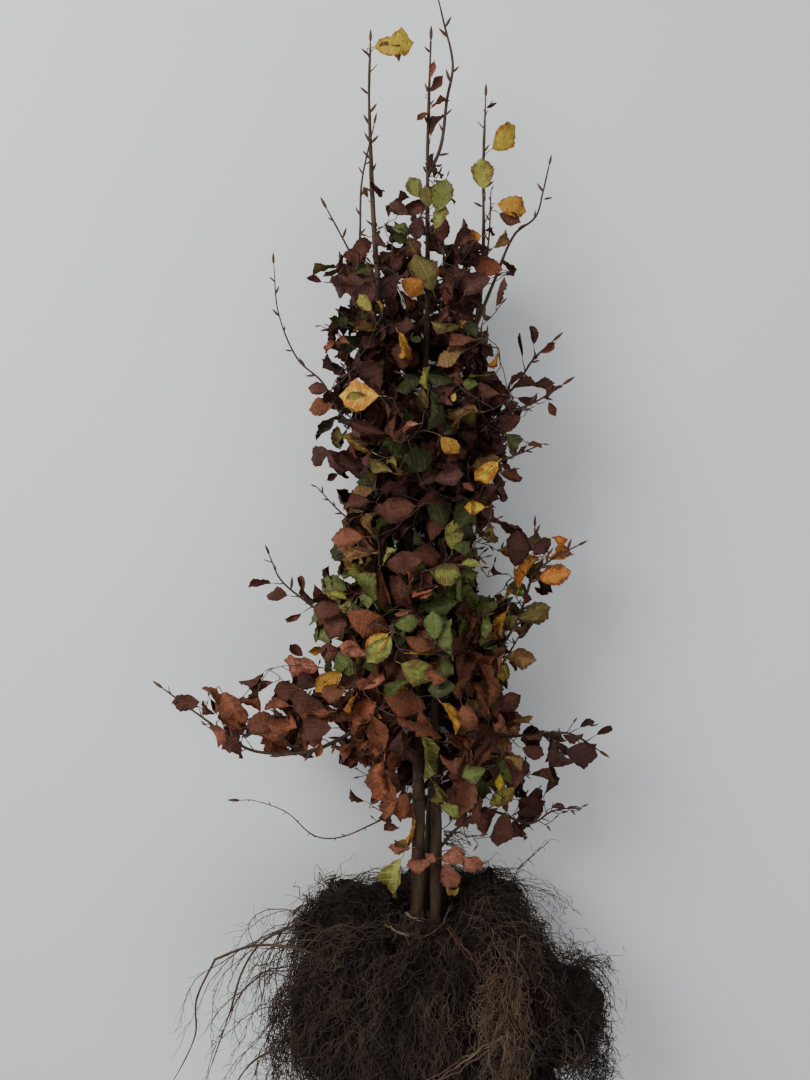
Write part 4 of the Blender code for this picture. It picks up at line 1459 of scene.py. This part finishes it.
def hang_root(skin, start, heading, length, steps, lift, hug, wander, seed, rng):
    """A root's line: it runs with the flow and keeps, as closely as it hugs, to a height over the skin."""
    point = start.copy()
    way = heading.normalized()
    line = [point.copy()]
    for _ in range(steps):
        way = shaken(way * 0.9 + root_flow(point, seed) * 0.55, wander, rng)
        point = point + way * length / steps
        near, normal, _, _ = skin.find_nearest(point)
        point = point.lerp(near + normal * lift, hug)
        point.z = max(point.z, ROOT_REST)
        line.append(point.copy())
    return line


def inside_room(line):
    return fits(np.array([tuple(point) for point in line]))


def surface_points(skin_mesh, count, rng):
    """Points spread evenly over a mesh, with the way out of it at each."""
    skin_mesh.calc_loop_triangles()
    triangles = skin_mesh.loop_triangles
    areas = [triangle.area for triangle in triangles]
    for chosen in rng.choices(range(len(triangles)), areas, k=count):
        triangle = triangles[chosen]
        a, b, c = (skin_mesh.vertices[i].co for i in triangle.vertices)
        u, v = rng.random(), rng.random()
        if u + v > 1:
            u, v = 1 - u, 1 - v
        yield a + (b - a) * u + (c - a) * v, triangle.normal.copy()


def shade_of_strand(start, rng):
    """Tan strands gather right of the middle, where the roots dried first."""
    spot = start - COLLAR
    left, right, top, least_out = DRY_PATCH
    is_dry = left < spot.x < right and spot.y < top and spot.z > least_out
    return pick({"tan": 0.42 if is_dry else 0.06, "brown": 0.36, "dark": 0.58}, rng)


def add_route(routes, line, foot, tip):
    """Adds a line with its radii, if it stays within the room that looks may take."""
    if inside_room(line):
        routes.append((line, tapered(len(line), foot, tip)))


def grow_strands(routes, skin_mesh, skin, rng):
    """Fine roots in strands that share their way."""
    for start, normal in surface_points(skin_mesh, STRANDS, rng):
        if normal.z < UNDERSIDE:
            continue
        shade = shade_of_strand(start, rng)
        seed = rng.uniform(0, 3)
        lift = rng.uniform(0.003, 0.020)
        length = rng.uniform(*STRAND_LENGTHS)
        heading = shaken(root_flow(start, seed) + normal * 0.25, 0.35, rng)
        for _ in range(rng.randint(*STRAND_FIBRES)):
            foot = start + scatter(rng, 0.007, 0.005)
            own_length = length * rng.uniform(0.5, 1.2)
            height = max(0.001, lift + rng.uniform(-0.005, 0.005))
            own_seed = seed + rng.uniform(0, 0.4)
            line = hang_root(skin, foot, heading, own_length, FIBRE_STEPS, height, 0.40, 0.40, own_seed, rng)
            if inside_room(line):
                thick = 0.00042 + 0.00055 * rng.random() ** 2
                routes[shade].append((line, tapered(len(line), thick, thick * 0.4)))


def grow_coat(routes, skin_mesh, skin, rng):
    """A tangled coat of short fibres."""
    for start, normal in surface_points(skin_mesh, COAT_FIBRES, rng):
        if normal.z < UNDERSIDE:
            continue
        seed = rng.uniform(0, 9)
        heading = shaken(root_flow(start, seed), 1.1, rng)
        length = rng.uniform(*COAT_LENGTHS)
        height = rng.uniform(0.001, 0.018)
        line = hang_root(skin, start + normal * height, heading, length, 5, height, 0.40, 0.60, seed, rng)
        if inside_room(line):
            thick = rng.uniform(*COAT_RADII)
            shade = rng.choices(["dark", "brown", shade_of_strand(start, rng)], [5, 3, 2])[0]
            routes[shade].append((line, tapered(len(line), thick, thick * 0.4)))


def strands_along(guide, count, spread, thick, rng):
    """Roots that wander about a guide line. A few run its whole length, but many only a part of it."""
    routes = []
    line = smooth_line(guide, 0.006)
    step = spread * 0.45
    for _ in range(count):
        first = rng.randrange(0, 2)
        last = len(line) - rng.randrange(0, 2)
        if count > 5:
            first = rng.randrange(-3, max(1, len(line) * 2 // 3))
            last = first + rng.randint(6, max(8, len(line) * 2 // 3))
        aside = scatter(rng, spread, spread * 0.6)
        own = []
        for point in line[max(0, first) : last]:
            aside = aside * 0.94 + scatter(rng, step, step * 0.6)
            moved = point + aside
            moved.z = max(moved.z, ROOT_REST)
            own.append(moved)
        if len(own) > 2 and inside_room(own):
            radius = thick * rng.uniform(0.6, 1.2)
            routes.append((own, tapered(len(own), radius, radius * 0.35)))
    return routes


def side_hairs(routes, every, lengths, thick, rng):
    """Short crooked hairs that leave roots on all sides."""
    hairs = []
    for line, _ in routes:
        for i in range(2, len(line), every):
            lean = shaken(way_at(line, i) - UP_THE_STEMS * 0.3, 0.60, rng)
            step = rng.uniform(*lengths) / 4
            add_route(hairs, crooked_line(line[i], lean, step, 4, 0.10, 0.38, rng), thick, thick * 0.5)
    return hairs


def trailing_fan(rng):
    """The long roots that arch out to the left and hang down."""
    routes = []
    for number in range(FAN_ROOTS):
        share = number / (FAN_ROOTS - 1)
        across = FAN_ACROSS - 0.03 * rng.random()
        point = in_row((across, FAN_TOP - FAN_FALL * share, rng.uniform(0.01, 0.08)))
        way = Vector((-1.0, 0.30 - 0.70 * share + rng.gauss(0, 0.14), 0.1)).normalized()
        line = [point.copy()]
        length = rng.uniform(*FAN_LENGTHS) * (1 - 0.30 * share)
        sag = rng.uniform(0.12, 0.22)
        for _ in range(LONG_STEPS):
            way = shaken(way - UP_THE_STEMS * sag, 0.15, rng)
            point = point + way * length / LONG_STEPS
            point.z = max(0.004, point.z - rng.uniform(0.001, 0.004))
            line.append(point.copy())
        if inside_room(line):
            routes.append((line, tapered(len(line), rng.uniform(*FAN_RADII), 0.0004)))
    return routes


def loose_ends(skin_mesh, rng):
    """Wisps that stand clear of the mass all round its outline."""
    routes = []
    for start, normal in surface_points(skin_mesh, LOOSE_ENDS, rng):
        if abs(normal.z) > 0.6:
            continue
        way = shaken(normal + root_flow(start, 4.0) * 0.5, 0.25, rng)
        point = start + normal * 0.008
        line = [point.copy()]
        length = rng.uniform(*LOOSE_LENGTHS)
        for _ in range(5):
            way = shaken(way - UP_THE_STEMS * 0.12, 0.22, rng)
            point = point + way * length / 5
            point.z = max(point.z, ROOT_REST)
            line.append(point.copy())
        if inside_room(line):
            routes.append((line, tapered(len(line), rng.uniform(*LOOSE_RADII), 0.0002)))
    return routes


def grow_shown_roots(routes, rng):
    """The roots whose place shows, on the front of the root masses, with their side hairs."""
    fronts = skin_of("root_mass")
    for pixels, count, spread, thick, shade in ROOT_STRANDS:
        guide = [shown_place(fronts, 0, *pixel) for pixel in pixels]
        found = strands_along(guide, count, spread, thick, rng)
        routes[shade] += found
        routes[shade] += side_hairs(found, 3 if count < 6 else 5, (0.008, 0.022), 0.00038, rng)


def root_runners(skin, rng):
    """Long roots that run over the mass from the collar, and the main ones that carry on the stems."""
    runners = []
    for _ in range(RUNNERS):
        turn = rng.uniform(0, math.tau)
        away = Vector((math.cos(turn), -0.30, abs(math.sin(turn)) * 0.9 + 0.1)).normalized()
        start = COLLAR + away * 0.018 - UP_THE_STEMS * rng.uniform(-0.015, 0.030)
        seed = rng.uniform(0, 6)
        length = rng.uniform(*RUNNER_LENGTHS)
        lift = rng.uniform(0.004, 0.019)
        line = hang_root(skin, start, away, length, LONG_STEPS, lift, 0.50, 0.16, seed, rng)
        if inside_room(line):
            runners.append((line, tapered(len(line), rng.uniform(*RUNNER_RADII), 0.0005)))
    return runners + [limb_route((points, foot, MAIN_ROOT_TIP), 0.010) for points, foot in MAIN_ROOTS]


def add_fine_roots(skin_mesh, skin, finishes, rng):
    """The strands, the coat, the roots that show and the loose ends, joined into pieces by shade."""
    routes = {shade: [] for shade in finishes}
    own_rng = random.Random(101)
    grow_strands(routes, skin_mesh, skin, own_rng)
    grow_coat(routes, skin_mesh, skin, own_rng)
    grow_shown_roots(routes, rng)
    routes["dark"] += loose_ends(skin_mesh, rng)
    for shade, lines in routes.items():
        for number, first in enumerate(range(0, len(lines), PIECE_FIBRES), start=1):
            part = lines[first : first + PIECE_FIBRES]
            add_tubes(f"root_fibres_{shade}_{number}", part, 0, finishes[shade], "root_tangle")


def make_roots():
    rng = random.Random(211)
    skin_mesh = root_core()
    skin = skin_tree(skin_mesh)
    # The heart's near-black finish is painted shade for the shaded inside of the tangle.
    add_piece("root_heart", skin_mesh, painted_shade_heart_finish(), "root_tangle", *nodes_of("root_mass"))
    finishes = fibre_finishes()
    add_fine_roots(skin_mesh, skin, finishes, rng)
    runners = root_runners(skin, rng)
    fan = trailing_fan(rng)
    hairs = side_hairs(fan, 1, (0.014, 0.045), 0.00042, rng)
    hairs += side_hairs(runners, 2, (0.010, 0.030), 0.0005, rng)
    add_tubes("root_runners", runners, 2, finishes["brown"], "root_bark")
    add_tubes("root_fan", fan, 1, finishes["brown"], "root_bark")
    add_tubes("root_hairs", hairs, 0, finishes["brown"], "root_tangle")
    bark = root_skin()
    for name, limb in ROOT_LIMBS.items():
        thinness = 1.0 if name == "root_crown" else TRAIL_THINNESS
        add_piece(name + "_skin", limb_mesh(name, limb, thinness, ROOT_RELIEF), bark, "root_bark", name)


def make_floor():
    form = bmesh.new()
    bmesh.ops.create_grid(form, x_segments=1, y_segments=1, size=9.0)
    mesh = bpy.data.meshes.new("floor")
    form.to_mesh(mesh)
    form.free()
    mesh.materials.append(floor_finish())
    floor = put_in_scene("floor", mesh)


def soft_light(name, place, aim, size, power):
    lamp = bpy.data.lights.new(name, "AREA")
    lamp.shape = "DISK"
    lamp.size = size
    lamp.energy = power
    holder = put_in_scene(name, lamp)
    holder.location = place
    holder.rotation_euler = (Vector(aim) - Vector(place)).to_track_quat("-Z", "Y").to_euler()


def make_light():
    world = bpy.data.worlds.new("studio")
    bpy.context.scene.world = world
    world.use_nodes = True
    sky = world.node_tree.nodes["Background"]
    sky.inputs["Color"].default_value = (0.93, 0.96, 1.0, 1.0)
    sky.inputs["Strength"].default_value = 0.55
    soft_light("window", (-1.9, 1.5, 2.2), (0.0, 0.1, 0.1), 1.7, 95)
    soft_light("fill", (1.6, -0.4, 2.4), (0.0, 0.0, 0.0), 2.2, 16)


def make_camera():
    camera = bpy.data.cameras.new("camera")
    camera.lens = LENS
    camera.sensor_width = SENSOR
    camera.clip_start = 0.01
    holder = put_in_scene("camera", camera)
    holder.location = in_row(VIEWER)
    holder.rotation_euler = (-TILT, 0, 0)
    bpy.context.scene.camera = holder


def main():
    noise.seed_set(NOISE_SEED)
    make_camera()
    make_light()
    make_floor()
    skeleton = Skeleton()
    for limb in STEMS.values():
        skeleton.add_line(*limb_route(limb, 0.010))
    grow_links(skeleton)
    foliage = Foliage()
    place_leaves(foliage, skeleton)
    grow_crown(skeleton, foliage)
    dress_limbs(foliage, skeleton)
    grow_fine_twigs(foliage, skeleton)
    make_leaves(foliage)
    make_wood(skeleton, foliage)
    make_roots()
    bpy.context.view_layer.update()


main()
